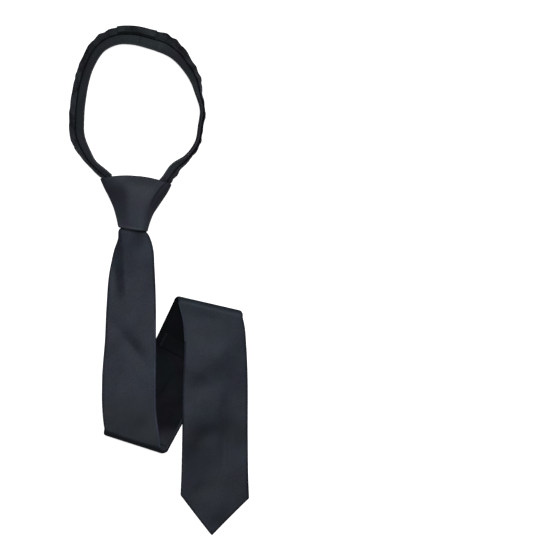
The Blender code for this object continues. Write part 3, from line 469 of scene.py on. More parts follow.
def path_length(points):
    """Distance along each row of points, from its start."""
    steps = np.linalg.norm(np.diff(points, axis=0), axis=-1)
    return np.concatenate([np.zeros((1,) + steps.shape[1:]), np.cumsum(steps, axis=0)])


def puckers(along, across):
    """Slow unevenness: a sum of sines, each with its own length along and across the strip."""
    height = np.zeros(np.broadcast(along, across).shape)
    for high, long, wide, start in PUCKERS:
        height += high * np.sin(2 * np.pi * (along / long + across / wide) + start)
    return height


def dents(plan):
    """The soft dents and humps at plan points: a sum of bells, each longer one way than the other."""
    height = np.zeros(plan.shape[:2])
    for _, x, y, long, wide, turn, high in DENTS:
        turned = math.radians(turn)
        away_x, away_y = plan[..., 0] - x, plan[..., 1] - y
        along = away_x * math.cos(turned) + away_y * math.sin(turned)
        across = away_y * math.cos(turned) - away_x * math.sin(turned)
        height += high * np.exp(-((along / long) ** 2 + (across / wide) ** 2))
    return height


def signed_volume(points, quads):
    """Six times the volume that the quads enclose, positive where they face outwards."""
    a, b, c, d = (points[quads[:, n]] for n in range(4))
    return np.einsum("ij,ij->", a, np.cross(b, c) + np.cross(c, d))


def put_mesh(name, points, faces, corners, finishes, slots=None, ends=0):
    """An object from points in millimetres, faces, and a place on the cloth for each face corner. The last faces,
    as many as ends says, are flat cuts with sharp edges."""
    mesh = bpy.data.meshes.new(name)
    mesh.from_pydata((points * MM).tolist(), [], faces)
    cloth = mesh.uv_layers.new(name="cloth")
    cloth.data.foreach_set("uv", corners.astype(np.float32).ravel())
    for finish in finishes:
        mesh.materials.append(finish)
    if slots is not None:
        mesh.polygons.foreach_set("material_index", slots.astype(np.int32))
    mesh.shade_smooth()
    mesh.polygons.foreach_set("use_smooth", np.arange(len(faces)) < len(faces) - ends)
    mesh.update()
    piece = bpy.data.objects.new(name, mesh)
    bpy.context.scene.collection.objects.link(piece)
    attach(piece, "root")
    return piece


def put_skin(name, rings, uv, finishes, slots=None):
    """A closed skin through rings of points, rows x around x 3, with one flat face over each end. uv is
    rows x (around + 1) x 2, and slots gives each quad between two rings its finish."""
    rows, around = rings.shape[:2]
    row = np.arange(rows - 1)[:, None] * around
    side = np.arange(around)[None, :]
    after = (side + 1) % around
    quads = np.stack([row + side, row + after, row + around + after, row + around + side], axis=2).reshape(-1, 4)
    corners = np.stack([uv[:-1, :-1], uv[:-1, 1:], uv[1:, 1:], uv[1:, :-1]], axis=2).reshape(-1, 4, 2)
    points = rings.reshape(-1, 3)
    ends = [list(range(around))[::-1], list(range((rows - 1) * around, rows * around))]
    if signed_volume(points, quads) < 0:
        quads, corners = quads[:, ::-1], corners[:, ::-1]
        ends = [end[::-1] for end in ends]
    corners = np.concatenate([corners.reshape(-1, 2), np.zeros((2 * around, 2))])
    if slots is not None:
        slots = np.concatenate([slots.ravel(), [0, 0]])
    return put_mesh(name, points, quads.tolist() + ends, corners, finishes, slots, ends=2)


def surface_normals(grid):
    """Unit normals of a grid of points, from its differences both ways."""
    normal = np.cross(np.gradient(grid, axis=0), np.gradient(grid, axis=1))
    return normal / np.linalg.norm(normal, axis=2, keepdims=True)


def strip_places(half_width, rounding, inner):
    """Places across a strip from edge to edge, close together where the edge is round."""
    edge = rounding * (1.0 - np.cos(np.radians(EDGE_TURNS)))
    left = -half_width + edge
    middle = np.linspace(-half_width + rounding, half_width - rounding, inner + 2)
    return np.concatenate([left, middle, -left[::-1]])


def edge_factor(across, half_width, rounding):
    """Share of the full thickness: 1 inside, and a quarter of an ellipse down to 0 at the edge."""
    inside = np.clip((half_width - np.abs(across)) / rounding, 0.0, 1.0)
    return np.sqrt(np.clip(1.0 - (1.0 - inside) ** 2, 0.0, 1.0))


def section_grid(at, inner=BLADE_COLUMNS, rounding=EDGE_ROUND):
    """Plan places of a run of sections, rows along the strip and columns across it, and each one's distance from the
    strip's middle."""
    across = np.array([strip_places(half, min(rounding, EDGE_MOST * half), inner) for half in at["half"]])
    tilt = np.radians(at["slope"])[:, None]
    plan = [at["x"][:, None] + across * np.cos(tilt), at["y"][:, None] + across * np.sin(tilt)]
    return np.stack(plan, axis=2), across


def put_strip(name, grid, over, under, across, finishes, slot_of=None, upper_slots=None):
    """A closed strip round a middle layer: its faces lie over and under it by the given distances along its
    normals, and meet at its edges. upper_slots and slot_of give each quad of the upper face and of the underside
    its finish."""
    normals = surface_normals(grid)
    above = grid + normals * over[:, :, None]
    below = grid - normals * under[:, :, None]
    rings = np.concatenate([above, below[:, -2:0:-1]], axis=1)
    along = path_length(grid.mean(axis=1))[:, None]
    places = np.concatenate([across, across[:, -2:0:-1], across[:, :1]], axis=1)
    uv = np.dstack([places, np.broadcast_to(along, places.shape)])
    slots = None
    if slot_of is not None:
        slots = np.concatenate([upper_slots[:-1, :-1], slot_of[:-1, -2::-1]], axis=1)
    return put_skin(name, rings, uv, finishes, slots)


def beside(points, start, end):
    """Distance of plan points from a line, positive to its left."""
    run = np.subtract(end, start)
    run = run / np.hypot(*run)
    away = points - np.array(start)
    return run[0] * away[..., 1] - run[1] * away[..., 0]


def back_edges():
    """The two long edges of the folded-back stretch, each as two plan points."""
    x, y, wide, slope = (BACK_RUN[name][[0, -1]] for name in ("x", "y", "wide", "slope"))
    tilt = np.radians(slope)
    return [np.stack([x + side * wide * np.cos(tilt), y + side * wide * np.sin(tilt)], axis=1)
            for side in (-0.5, 0.5)]


def keeper_frame():
    """Middle of the keeper, and the directions across the strip and along it."""
    left, _ = back_edges()
    along = np.subtract(left[1], left[0])
    along = along / np.hypot(*along)
    return np.array(KEEPER_PLACE), np.array([along[1], -along[0]]), along


def over_back(plan, edge, side):
    """What the folded-back stretch holds up: 1 over it, easing to 0 over the bridge beside its edge."""
    return ramp(1.0 + (side * beside(plan, *edge) + BRIDGE_FROM) / BRIDGE)


def fold_lift(plan, line, at_once=0.0):
    """How much higher than its rest a layer lies near its fold, easing out over a length beside the fold's line.
    at_once is the share of the lift that falls off as a square, steepest at the fold."""
    share = np.clip(np.linalg.norm(plan - line[None, :, :], axis=2) / FOLD_EASE, 0.0, 1.0)
    return (2 * FOLD_RADIUS - LAYER) * ((1 - at_once) * (1 - ramp(share)) + at_once * (1 - share) ** 2)


def dimple(plan):
    """The crease under the knot: left of its line the cloth falls away, steepest at the line."""
    reach = ramp((DIMPLE_FROM - plan[..., 1]) / DIMPLE_GROWS)
    reach = reach * (1 - ramp((DIMPLE_FADES - plan[..., 1]) / DIMPLE_LONG))
    down = -CREASE_LINE["y"]
    line = smooth(down, CREASE_LINE["x"], np.clip(-plan[..., 1], down[0], down[-1]))
    fall = np.clip((line - plan[..., 0]) / DIMPLE_LEFT, 0.0, 1.0)
    return DIMPLE_DEEP * reach * (1.0 - (1.0 - fall) ** DIMPLE_STEADY)


def blend_up(first, second):
    """The higher of two heights, rounded where they cross."""
    return 0.5 * (first + second + np.sqrt((first - second) ** 2 + CROSS_SOFT**2)) - 0.5 * CROSS_SOFT


def front_grid():
    """The middle layer of the first run, face up, from inside the knot to the lower fold."""
    at = even_sections(FRONT_RUN, FRONT_ROWS)
    plan, across = section_grid(at)
    left, _ = back_edges()
    resting = BLADE_THICK / 2 + LAYER * over_back(plan, left, -1.0) + fold_lift(plan, plan[-1])
    rise, share = at["rise"][:, None], across / at["half"][:, None]
    droop = EDGE_DROOP * share**2 * ramp((rise - BLADE_THICK) / DROOP_GROWS)
    twist = MOUTH_TWIST * ramp(share + TWIST_SIDE)
    twist *= ramp((plan[..., 1] - TWIST_FROM) / TWIST_LONG) * ramp((TWIST_ENDS - plan[..., 1]) / TWIST_STOPS)
    held_up = np.maximum(rise - droop - dimple(plan) - twist, BLADE_THICK / 2)
    return np.dstack([plan, blend_up(held_up, resting)]), at, across


def back_grid():
    """The middle layer of the folded-back run, face down on the table."""
    at = even_sections(BACK_RUN, BACK_ROWS)
    plan, across = section_grid(at)
    return np.dstack([plan, np.full(plan.shape[:2], BLADE_THICK / 2)]), at, across


def keeper_lift(plan):
    """The soft hump that the keeper makes in the layer above it."""
    middle, keeper_across, keeper_along = keeper_frame()
    away = plan - middle
    beyond = np.hypot(
        np.maximum(np.abs(away @ keeper_across) - KEEPER_SIZE[0] / 2, 0.0),
        np.maximum(np.abs(away @ keeper_along) - KEEPER_SIZE[1] / 2 - KEEPER_MARGIN, 0.0),
    )
    return (KEEPER_THICK + 2 * GAP) * (1 - ramp(beyond / KEEPER_SOFT))


def tip_grid():
    """The middle layer of the last run, face up, from the upper fold to the point, which its last section runs into
    evenly."""
    at = even_sections(TIP_RUN, TIP_ROWS)
    to_point = np.linspace(0.0, 1.0, POINT_ROWS + 1)[1:]
    point = {"x": TIP_POINT[0], "y": TIP_POINT[1], "half": TIP_BLUNT / 2, "slope": 0.0}
    at = {name: np.append(at[name], at[name][-1] + to_point * (end - at[name][-1])) for name, end in point.items()}
    plan, across = section_grid(at)
    _, right = back_edges()
    held = over_back(plan, right, 1.0)
    lift = blend_up(fold_lift(plan, plan[0], TIP_FALLS), keeper_lift(plan) * ramp(2.0 * held))
    return np.dstack([plan, BLADE_THICK / 2 + LAYER * held + lift]), at, across


def roll(upper, lower, outward):
    """The layers' turn at a fold: half an ellipse from the upper section to the lower, standing outward."""
    turns = np.radians(np.arange(FOLD_STEP, 179.0, FOLD_STEP))[:, None, None]
    middle, half = (upper + lower) / 2, (upper - lower) / 2
    return middle + half * np.cos(turns) + outward * FOLD_RADIUS * np.sin(turns)


def fold_outward(upper, away_from):
    """Unit plan direction square to a fold's line, pointing away from the strip."""
    line = upper[-1] - upper[0]
    square = np.array([line[1], -line[0], 0.0])
    square = square / np.linalg.norm(square)
    return square if np.dot(square, upper[0] - away_from[0]) > 0 else -square


def make_blade(finishes):
    """The blade's middle layer is three runs of sections joined by two half-ellipse turns. Its face lies over it by
    half the thickness times a quarter ellipse at the edges, and by slow puckers and dents where the face is up. The
    finishes are those of the last run's face, the back, a painted highlight along parts of two edges, and the first
    run's face."""
    (front, front_at, front_across), (back, back_at, back_across), (tip, tip_at, tip_across) = (
        front_grid(), back_grid(), tip_grid())
    lower_turn = roll(front[-1], back[0], fold_outward(front[-1], front[-FOLD_SIDE]))
    upper_turn = roll(tip[0], back[-1], fold_outward(tip[0], tip[FOLD_SIDE]))[::-1]
    turn_rows = len(lower_turn)

    def joined(*runs):
        """Values of the three runs, where each turn's sections are like the last one before it."""
        first, second = (np.repeat(run[-1:], turn_rows, axis=0) for run in runs[:2])
        return np.concatenate([runs[0], first, runs[1], second, runs[2]])

    grid = np.concatenate([front, lower_turn, back, upper_turn, tip])
    across = joined(front_across, back_across, tip_across)
    half = joined(front_at["half"], back_at["half"], tip_at["half"])
    stretch = np.repeat(np.arange(5), [len(front), turn_rows, len(back), turn_rows, len(tip)])
    thick = np.concatenate([front_at["thick"], np.full(len(grid) - len(front), BLADE_THICK)])
    taper = TIP_THIN + (1.0 - TIP_THIN) * ramp((half - TIP_BLUNT / 2) / EDGE_ROUND)
    factor = edge_factor(across, half[:, None], np.minimum(EDGE_ROUND, EDGE_MOST * half)[:, None])
    skin = 0.5 * factor * (thick * taper)[:, None]
    face_up = np.isin(stretch, (0, 4)).astype(float)
    settled = np.convolve(face_up, np.ones(SETTLE_ROWS) / SETTLE_ROWS, mode="same")[:, None] * face_up[:, None]
    along = path_length(grid.mean(axis=1))[:, None]
    relief = (puckers(along, across) + dents(grid[..., :2])) * settled * factor
    middle_y = grid.mean(axis=1)[:, 1]
    inside = np.abs(across) < (half - LINING_INSET)[:, None]
    inside |= (np.isin(stretch, (2, 3)) & (middle_y > LINING_TO_EDGE))[:, None] & (across < 0.0)
    face = np.where(stretch < 2, 3, 0)[:, None] + np.zeros(across.shape, int)
    # A painted highlight along the first run's right edge and the last run's left edge
    face[(stretch == 0) & (middle_y < HIGHLIGHT_FRONT[0]) & (middle_y > HIGHLIGHT_FRONT[1]), -1 - HIGHLIGHT_COLUMNS:] = 2
    face[(stretch == 4) & (middle_y < HIGHLIGHT_TIP[0]) & (middle_y > HIGHLIGHT_TIP[1]), :HIGHLIGHT_COLUMNS] = 2
    return put_strip("blade_cloth", grid, skin + relief, skin, across, finishes, inside.astype(int), face)


def make_back_lining(lining):
    """Two panels of lining that meet at the seam down the middle of the back: a flat strip whose thickness dips
    by a bell at the seam, with a small slanting tuck, steep on one side."""
    at = even_sections(BACK_RUN, LINING_ROWS, LINING_FROM_FOLD)
    at["half"] = at["half"] - LINING_INSET
    plan, across = section_grid(at, LINING_COLUMNS, LINING_THICK)
    middle = np.full(plan.shape[:2], BLADE_THICK + GAP + LINING_THICK / 2)
    factor = edge_factor(across, at["half"][:, None], LINING_THICK)
    seam = np.exp(-((across / SEAM_WIDE) ** 2))
    tuck = beside(plan, *LINING_TUCK)
    ends = np.linalg.norm(plan - np.mean(LINING_TUCK, axis=0), axis=2)
    fold = np.where(tuck > 0, np.exp(-tuck / TUCK_SLOPE), np.exp(-((tuck / TUCK_STEEP) ** 2)))
    fold = fold * (1.0 - ramp((ends - TUCK_HALF) / TUCK_FADES))
    over = 0.5 * LINING_THICK * factor * (1.0 - SEAM_DIPS * seam)
    over = over - PANEL_STEP * ramp(across / PANEL_STEP_WIDE + 0.5) * factor + TUCK_HIGH * fold * factor
    under = 0.5 * LINING_THICK * factor
    return put_strip("back_lining_panels", np.dstack([plan, middle]), under, over, across, [lining])


def make_keeper(band):
    """A flat band across the lining, with round ends and a line beside each long edge where its hem is turned."""
    middle, across, along = keeper_frame()
    places = np.linspace(-KEEPER_SIZE[1] / 2, KEEPER_SIZE[1] / 2, KEEPER_ROWS)
    width = strip_places(KEEPER_SIZE[0] / 2, KEEPER_THICK, KEEPER_COLUMNS)
    plan = middle + places[:, None, None] * along + width[None, :, None] * across
    shrink = edge_factor(places, KEEPER_SIZE[1] / 2 + KEEPER_ENDS, KEEPER_END_ROUND)[:, None]
    factor = edge_factor(width, KEEPER_SIZE[0] / 2, KEEPER_THICK)[None, :] * shrink
    z = np.full(plan.shape[:2], BLADE_THICK + 2 * GAP + LINING_THICK + KEEPER_THICK / 2)
    from_hem = (np.abs(places) - KEEPER_SIZE[1] / 2 + HEM_LINE) / HEM_LINE_WIDE
    hem = KEEPER_HEM * np.exp(-(from_hem**2))[:, None]
    skin = 0.5 * KEEPER_THICK * factor
    return put_strip("keeper_band", np.dstack([plan, z]), skin, skin - hem * factor,
                     np.broadcast_to(width, plan.shape[:2]), [band])


def knot_contour(half, high, square, wall, narrow):
    """Sections of the knot, rows x sides: a flat back with rounded corners under a domed front, a superellipse
    whose power changes at its widest place, set in by the wall."""
    turns = 2 * np.pi * (np.arange(KNOT_SIDES) + 0.5) / KNOT_SIDES
    cosine, sine = np.cos(turns), np.sin(turns)
    power = np.where(sine > 0, 2.0 / square[:, None], 2.0 / KNOT_BACK_SQUARE)
    across = (half[:, None] - wall - narrow) * np.sign(cosine) * np.abs(cosine) ** power
    widest = KNOT_WIDEST * high[:, None]
    above = (high[:, None] - wall - widest) * np.abs(sine) ** power
    below = (widest - wall) * np.abs(sine) ** power
    return across, widest + np.where(sine > 0, above, -below)


def make_knot(cloth):
    """Rings from the lower mouth to the upper: each is the knot's contour, dropped beyond the wrap's folded edge
    and bowed along the knot. A hollow goes in behind each mouth, past a lip that turns in by half a sine."""
    knots = (KNOT_RUN["y"] - KNOT_RUN["y"][0]) / (KNOT_RUN["y"][-1] - KNOT_RUN["y"][0])
    read = sections(KNOT_RUN, knots, np.linspace(0, 1, KNOT_ROWS))

    def rings(rows, wall, inward):
        at = {name: values[rows] for name, values in read.items()}
        across, z = knot_contour(at["half"], at["high"], at["square"], wall, MOUTH_TAPER * np.maximum(inward, 0.0))
        half, high = at["half"][:, None], at["high"][:, None]
        share = across / half
        beyond = (share - at["fold_at"][:, None]) * half
        past_panel = -PANEL_LEFT - share
        outside = np.maximum(0.5 * (past_panel + np.sqrt(past_panel**2 + FLANK_SOFT**2)) * half, beyond)
        flank = high - wall - at["flank"][:, None] * outside
        kept = KNOT_WIDEST * high + FLANK_KEEPS * (z - KNOT_WIDEST * high)
        z = np.where(z > flank, np.maximum(flank, kept), z)
        on_face = ramp((z - PLEAT_FROM * high) / PLEAT_SOFT)
        from_mouth = np.hypot(at["x"] - read["x"][0], at["y"] - read["y"][0])[:, None]
        hem = HEM_HIGH * np.exp(-(((from_mouth - HEM_AT) / HEM_WIDE) ** 2))
        drop = PLEAT_DROP * ramp(beyond / PLEAT_WIDE + 0.5) * on_face - hem * on_face
        tilt = np.radians(at["slope"])[:, None]
        bow = at["bow"][:, None] * (1 - share**2) - inward
        return np.stack([
            at["x"][:, None] + across * np.cos(tilt) - bow * np.sin(tilt),
            at["y"][:, None] + across * np.sin(tilt) + bow * np.cos(tilt),
            z - drop,
        ], axis=2)

    def lip(row, part, way):
        return rings(row, KNOT_WALL * part, np.full((1, 1), way * KNOT_LIP_OUT * math.sin(math.pi * part)))

    first, last = np.array([0]), np.array([KNOT_ROWS - 1])
    level = np.zeros((1, 1))
    share = knot_contour(np.ones(1), read["high"][last], read["square"][last], 0.0, 0.0)[0]
    at_strap = ramp((np.abs(share) - MOUTH_STRAP_FROM) / MOUTH_STRAP_EASE)
    top_depth = MOUTH_TOP_MID + (MOUTH_TOP_CORNER - MOUTH_TOP_MID) * at_strap
    skin = np.concatenate([
        rings(first, KNOT_WALL, level - MOUTH_BOTTOM), rings(first, KNOT_WALL, level),
        *(lip(first, part, 1.0) for part in KNOT_LIP[::-1]),
        rings(np.arange(KNOT_ROWS), 0.0, level),
        *(lip(last, part, -1.0) for part in KNOT_LIP),
        rings(last, KNOT_WALL, level), rings(last, KNOT_WALL, top_depth),
    ])
    uv = closed_uv(skin)
    uv[..., 0] -= uv[:, -1:, 0] / 4
    return put_skin("knot_wrap", skin, uv, [cloth])


def seam_line():
    """The neck loop's seam line in plan: its rows' distances along it, and their X and Y."""
    x, y = LOOP_RUN["x"], LOOP_RUN["y"]
    return path_length(np.stack([x, y], axis=1)), x, y


def strap_at(at):
    """The strap at distances along its seam line: place, direction and fullness, and from its lean and lift the
    seam's height, the direction out to the cover's edge and the one out of the strap's face."""
    knots, x, y = seam_line()
    nudge = 0.5
    before, after = np.clip(at - nudge, 0.0, knots[-1]), np.clip(at + nudge, 0.0, knots[-1])
    run = np.stack([curve(knots, x, after) - curve(knots, x, before),
                    curve(knots, y, after) - curve(knots, y, before), np.zeros(len(at))], axis=1)
    run = run / np.linalg.norm(run, axis=1, keepdims=True)
    lean, lift, full = (smooth(knots, LOOP_RUN[name], at) for name in ("lean", "lift", "full"))
    tilt = np.radians(lean)[:, None]
    away = np.stack([-run[:, 1], run[:, 0], run[:, 2]], axis=1)
    up = np.array([[0.0, 0.0, 1.0]])
    half_thick = COVER_THICK / 2 * full + GATHER_THICK
    high = lift + half_thick + (COVER_OUT * full + GATHER_OUT - half_thick) * np.sin(tilt[:, 0])
    return {
        "at": at, "full": full, "run": run,
        "seam": np.stack([curve(knots, x, at), curve(knots, y, at), high], axis=1),
        "out": away * np.cos(tilt) - up * np.sin(tilt),
        "face": away * np.sin(tilt) + up * np.cos(tilt),
    }


def strap_marks():
    """Distances along the seam line of the joint's two ends, of the place where the tapes meet, and of its end."""
    knots, _, _ = seam_line()
    left, right = (knots[LOOP_RUN["row"].index(name)] for name in ("joint_left", "joint_right"))
    return left, right, left + TAPE_MEETS * (right - left), knots[-1]


def on_strap(line, out, face):
    """Points of the strap's sections: out from the seam and up from the strap's face, rows x places."""
    return (line["seam"][:, None, :] + out[:, :, None] * line["out"][:, None, :]
            + face[:, :, None] * line["face"][:, None, :])


def closed_uv(rings):
    """A place on the cloth for each point of a run of closed rings: distance round the section and along the run."""
    around = path_length(np.concatenate([rings, rings[:, :1]], axis=1).transpose(1, 0, 2)).T
    along = path_length(rings.mean(axis=1))[:, None]
    return np.dstack([around, np.broadcast_to(along, around.shape)])


def gathers(at):
    """The cover's main gathers, from -1 to 1: waves of uneven length and height."""
    turn = 2 * np.pi * at
    wave = np.sin(turn / GATHER_WAVE + GATHER_DRIFT * np.sin(turn / GATHER_DRIFT_LONG))
    return wave * (1.0 - GATHER_FADE + GATHER_FADE * np.sin(turn / GATHER_FADE_LONG))


def pleats(at, out, pitch, start):
    """Small gathers with sharp valleys between round ridges, from 0 to 1, of uneven spacing, leaning a little: the
    size of a sine whose phase drifts, to a power, times a slowly changing height."""
    phase = np.pi * (at + PLEAT_LEAN * out) / pitch
    for much, long, starts in PLEAT_DRIFTS:
        phase = phase + much * np.sin(at / long + starts * start)
    height = 1.0 - PLEAT_VARIES + PLEAT_VARIES * np.sin(at / PLEAT_VARIES_LONG + PLEAT_VARIES_START * start)
    return np.abs(np.sin(phase + start)) ** PLEAT_SHARP * height


def make_cover(name, start, end, pitch, high, finishes, proud=0.0, seed=0.0, shaded_lip_columns=1, calm=0.0):
    """A folded cover open toward the tape, carried along the strap: two faces, a round outer edge and a slot.
    Gathers raise its faces and its edge, by nothing at the seam and fully at the edge. calm is the share of the main
    gathers that is missing at the strap's start, and the first columns of a face, with the slot's, have the second
    finish: painted shade in the groove where the lip meets the tape."""
    line = strap_at(np.linspace(start, end, int((end - start) / COVER_STEP)))
    at, full = line["at"][:, None], line["full"][:, None]
    main = 0 * at if proud else gathers(at) * (1.0 - calm * ramp((CALM_TO - at) / CALM_EASE))
    half = COVER_THICK / 2 * full + proud + GATHER_THICK * main
    reach = COVER_OUT * full + proud + GATHER_OUT * main
    share = np.linspace(0.0, 1.0, COVER_PLACES)[None, :]
    turns = np.radians(np.arange(80.0, -81.0, -COVER_TURN))[None, :]
    slot = SLOT_THICK / 2 * np.minimum(1.0, full + SLOT_EXTRA)
    lip, deep = -COVER_LIP * full, 0 * at + SLOT_DEEP
    face_out = lip + share * (reach - half - lip)
    face_up = half * (LIP_LEFT + (1.0 - LIP_LEFT) * ramp(share * COVER_FULL))
    grow = ramp(share * GATHER_FULL)
    # Each stretch of the section: out, up, how far the gathers have grown, and how they push it out and up
    stretches = (
        (face_out, face_up, grow, 0.0, 1.0),
        (reach - half + half * np.cos(turns), half * np.sin(turns), 1.0, EDGE_GATHER * np.cos(turns), np.sin(turns)),
        (face_out[:, ::-1], -face_up[:, ::-1], grow[:, ::-1], 0.0, -1.0),
        (lip, -slot, 0.0, 0.0, 0.0), (deep, -slot, 0.0, 0.0, 0.0),
        (deep, slot, 0.0, 0.0, 0.0), (lip, slot, 0.0, 0.0, 0.0),
    )
    out, up, grow, push_out, push_up = (
        np.concatenate([part[n] + 0 * part[0] for part in stretches], axis=1) for n in range(5))
    starts = seed + np.where(up > 0, 0.0, PLEAT_UNDER)
    raised = high * grow * (pleats(at, out, pitch, starts) - PLEAT_LEVEL)
    rings = on_strap(line, out + raised * push_out, up + raised * push_up)
    rings[:, :, 2] = np.maximum(rings[:, :, 2], LEAST_HIGH)
    slots = np.zeros((rings.shape[0] - 1, rings.shape[1]), int)
    # Painted shade on the first columns of the upper face and in the slot, where the lip meets the tape
    slots[:, :shaded_lip_columns] = 1
    slots[:, -GROOVE_SHADE_COLUMNS:] = 1
    return put_skin(name, rings, closed_uv(rings), finishes, slots)


def make_tape(name, start, end, cloth):
    """A flat woven tape from inside the cover to its inner edge, with a raised cord along that edge."""
    line = strap_at(np.linspace(start, end, int((end - start) / TAPE_STEP)))
    full = line["full"][:, None]
    inner, half = TAPE_IN * full, TAPE_THICK / 2 * full
    share = np.linspace(0.0, 1.0, TAPE_PLACES)[None, :]
    out = TAPE_TUCK - share * (TAPE_TUCK + inner)
    cord = CORD_HIGH * np.exp(-(((out + inner - CORD_IN) / CORD_WIDE) ** 2)) * full
    beyond = np.clip((TAPE_ROUND - (out + inner)) / TAPE_ROUND, 0, 1)
    half = half * np.sqrt(np.clip(1.0 - beyond**2, TAPE_LEAST, 1.0))
    rings = on_strap(line, np.concatenate([out, out[:, ::-1]], axis=1),
                     np.concatenate([half + cord, -half[:, ::-1]], axis=1))
    return put_skin(name, rings, closed_uv(rings), [cloth])


def spiral(length, pitch):
    """Angles along a spiral of as many whole turns as fit in a length."""
    return np.arange(int(length / pitch) * COIL_STEPS) * 2 * np.pi / COIL_STEPS


def make_coil(name, start, end, pitch, wire, plastic):
    """A wire wound in a flattened spiral: its middle is at (a cos t, b sin t) about the coil's line, one turn for
    each pitch, and its round section swells on the inner side, where the two coils mesh."""
    t = spiral(end - start - 2 * pitch, pitch)
    line = strap_at(start + pitch + t / (2 * np.pi) * pitch)
    out = (COIL_AT[0] * line["full"] - COIL_REACH[0] * np.cos(t))[:, None]
    up = (COIL_AT[1] - COIL_REACH[1] * np.sin(t))[:, None]
    radius = wire * (1.0 + COIL_SWELLS * np.clip(np.cos(t), 0, 1) ** 2)
    return wound_tube(name, on_strap(line, out, up)[:, 0], line["run"], radius, plastic)


def wound_tube(name, middle, reference, radius, finish):
    """A tube of changing radius along a path: its section is a circle square to the path, turned to the
    reference direction."""
    tangent = np.gradient(middle, axis=0)
    tangent = tangent / np.linalg.norm(tangent, axis=1, keepdims=True)
    first = reference - np.einsum("ij,ij->i", reference, tangent)[:, None] * tangent
    first = first / np.linalg.norm(first, axis=1, keepdims=True)
    second = np.cross(tangent, first)
    turns = 2 * np.pi * np.arange(COIL_SIDES) / COIL_SIDES
    rings = middle[:, None, :] + radius[:, None, None] * (
        np.cos(turns)[None, :, None] * first[:, None, :] + np.sin(turns)[None, :, None] * second[:, None, :])
    return put_skin(name, rings, closed_uv(rings), [finish])


def put_stitches(name, places, run, up, length, radius, finish):
    """One small ellipsoid for each place: half its length along the run, and its radius the other two ways."""
    rows, sides = STITCH_ROWS, STITCH_SIDES
    polar = np.pi * np.arange(1, rows + 1) / (rows + 1)
    turns = 2 * np.pi * np.arange(sides) / sides
    x = np.concatenate([np.repeat(-np.cos(polar), sides), [-1.0, 1.0]])
    y = np.concatenate([np.outer(np.sin(polar), np.cos(turns)).ravel(), [0.0, 0.0]])
    z = np.concatenate([np.outer(np.sin(polar), np.sin(turns)).ravel(), [0.0, 0.0]])
    side = np.cross(up, run)
    points = (places[:, None, :] + length / 2 * x[None, :, None] * run[:, None, :]
              + radius * y[None, :, None] * side[:, None, :] + radius * z[None, :, None] * up[:, None, :])
    ring = np.arange(rows - 1)[:, None] * sides
    this, after = np.arange(sides)[None, :], (np.arange(sides)[None, :] + 1) % sides
    quads = np.stack([ring + this, ring + sides + this, ring + sides + after, ring + after], axis=2).reshape(-1, 4)
    last = (rows - 1) * sides
    starts = np.stack([this[0], after[0], np.full(sides, rows * sides)], axis=1)
    ends = np.stack([last + after[0], last + this[0], np.full(sides, rows * sides + 1)], axis=1)
    shift = np.arange(len(places))[:, None, None] * len(x)
    faces = (quads[None] + shift).reshape(-1, 4).tolist()
    faces += (starts[None] + shift).reshape(-1, 3).tolist() + (ends[None] + shift).reshape(-1, 3).tolist()
    corner_count = sum(len(face) for face in faces)
    return put_mesh(name, points.reshape(-1, 3), faces, np.zeros((corner_count, 2)), [finish])


def strap_stitches(name, start, end, out, up, pitch, length, radius, finish):
    """A row of stitches along the strap, at a distance out from the seam and up from the strap's face."""
    line = strap_at(np.arange(start + pitch, end - pitch / 2, pitch))
    full = line["full"][:, None]
    places = on_strap(line, out * full, up * full)[:, 0]
    return put_stitches(name, places, line["run"], line["face"], length, radius, finish)


def make_tail_tapes(cloth):
    """Two woven tapes side by side: a flat strip with rounded edges and a groove down its middle."""
    at = even_sections(TAIL_RUN, TAIL_ROWS)
    share = np.concatenate([np.linspace(*places) for places in TAIL_PLACES])
    across = at["half"][:, None] * share
    edge = edge_factor(across, at["half"][:, None] + TAIL_LEAST, TAIL_ROUND)
    skin = 0.5 * TAIL_THICK * edge * (1.0 - TAIL_GROOVE * np.exp(-((across / TAIL_GROOVE_WIDE) ** 2)))
    middle = at["lift"][:, None] + TAIL_THICK / 2
    over, under = (
        np.stack([at["x"][:, None] + across, at["y"][:, None] + 0 * across, middle + way * skin], axis=2)
        for way in (1.0, -1.0))
    rings = np.concatenate([over, under[:, ::-1]], axis=1)
    return put_skin("tail_tapes", rings, closed_uv(rings), [cloth])


def make_tail_coil(name, side, pitch, plastic):
    """One coil of the closed zip: a flattened spiral on its own side of the middle, half a turn behind the other."""
    at = even_sections(TAIL_RUN, TAIL_COIL_ROWS)
    y = at["y"]
    t = spiral(y[0] - y[-1] - 3 * pitch, pitch)
    along = y[0] - pitch - t / (2 * np.pi) * pitch - (pitch / 2 if side > 0 else 0.0)
    base_x, base_z = (np.interp(-along, -y, at[column]) for column in ("x", "lift"))
    out = TAIL_COIL_OUT - TAIL_COIL_REACH[0] * np.cos(t)
    high = TAIL_THICK + TAIL_COIL_HIGH + TAIL_WIRE + TAIL_COIL_REACH[1] * np.sin(t)
    middle = np.stack([base_x + side * out, along, base_z + high], axis=1)
    return wound_tube(name, middle, np.tile([0.0, 1.0, 0.0], (len(t), 1)), np.full(len(t), TAIL_WIRE), plastic)


def node_group(name, inputs, outputs):
    """An empty shader node group with named sockets: the tree, what is given to it and what it makes. An input is
    its name, kind and default."""
    tree = bpy.data.node_groups.new(name, "ShaderNodeTree")
    for label, kind, default in inputs:
        socket = tree.interface.new_socket(name=label, in_out="INPUT", socket_type="NodeSocket" + kind)
        if default is not None:
            socket.default_value = default
    for label, kind in outputs:
        tree.interface.new_socket(name=label, in_out="OUTPUT", socket_type="NodeSocket" + kind)
    return tree, tree.nodes.new("NodeGroupInput").outputs, tree.nodes.new("NodeGroupOutput")


def fill(tree, node, inputs):
    """A node with each of these inputs linked, where its value is a socket, or else set."""
    for key, value in dict(inputs).items():
        if isinstance(value, bpy.types.NodeSocket):
            tree.links.new(value, node.inputs[key])
        else:
            node.inputs[key].default_value = value
    return node


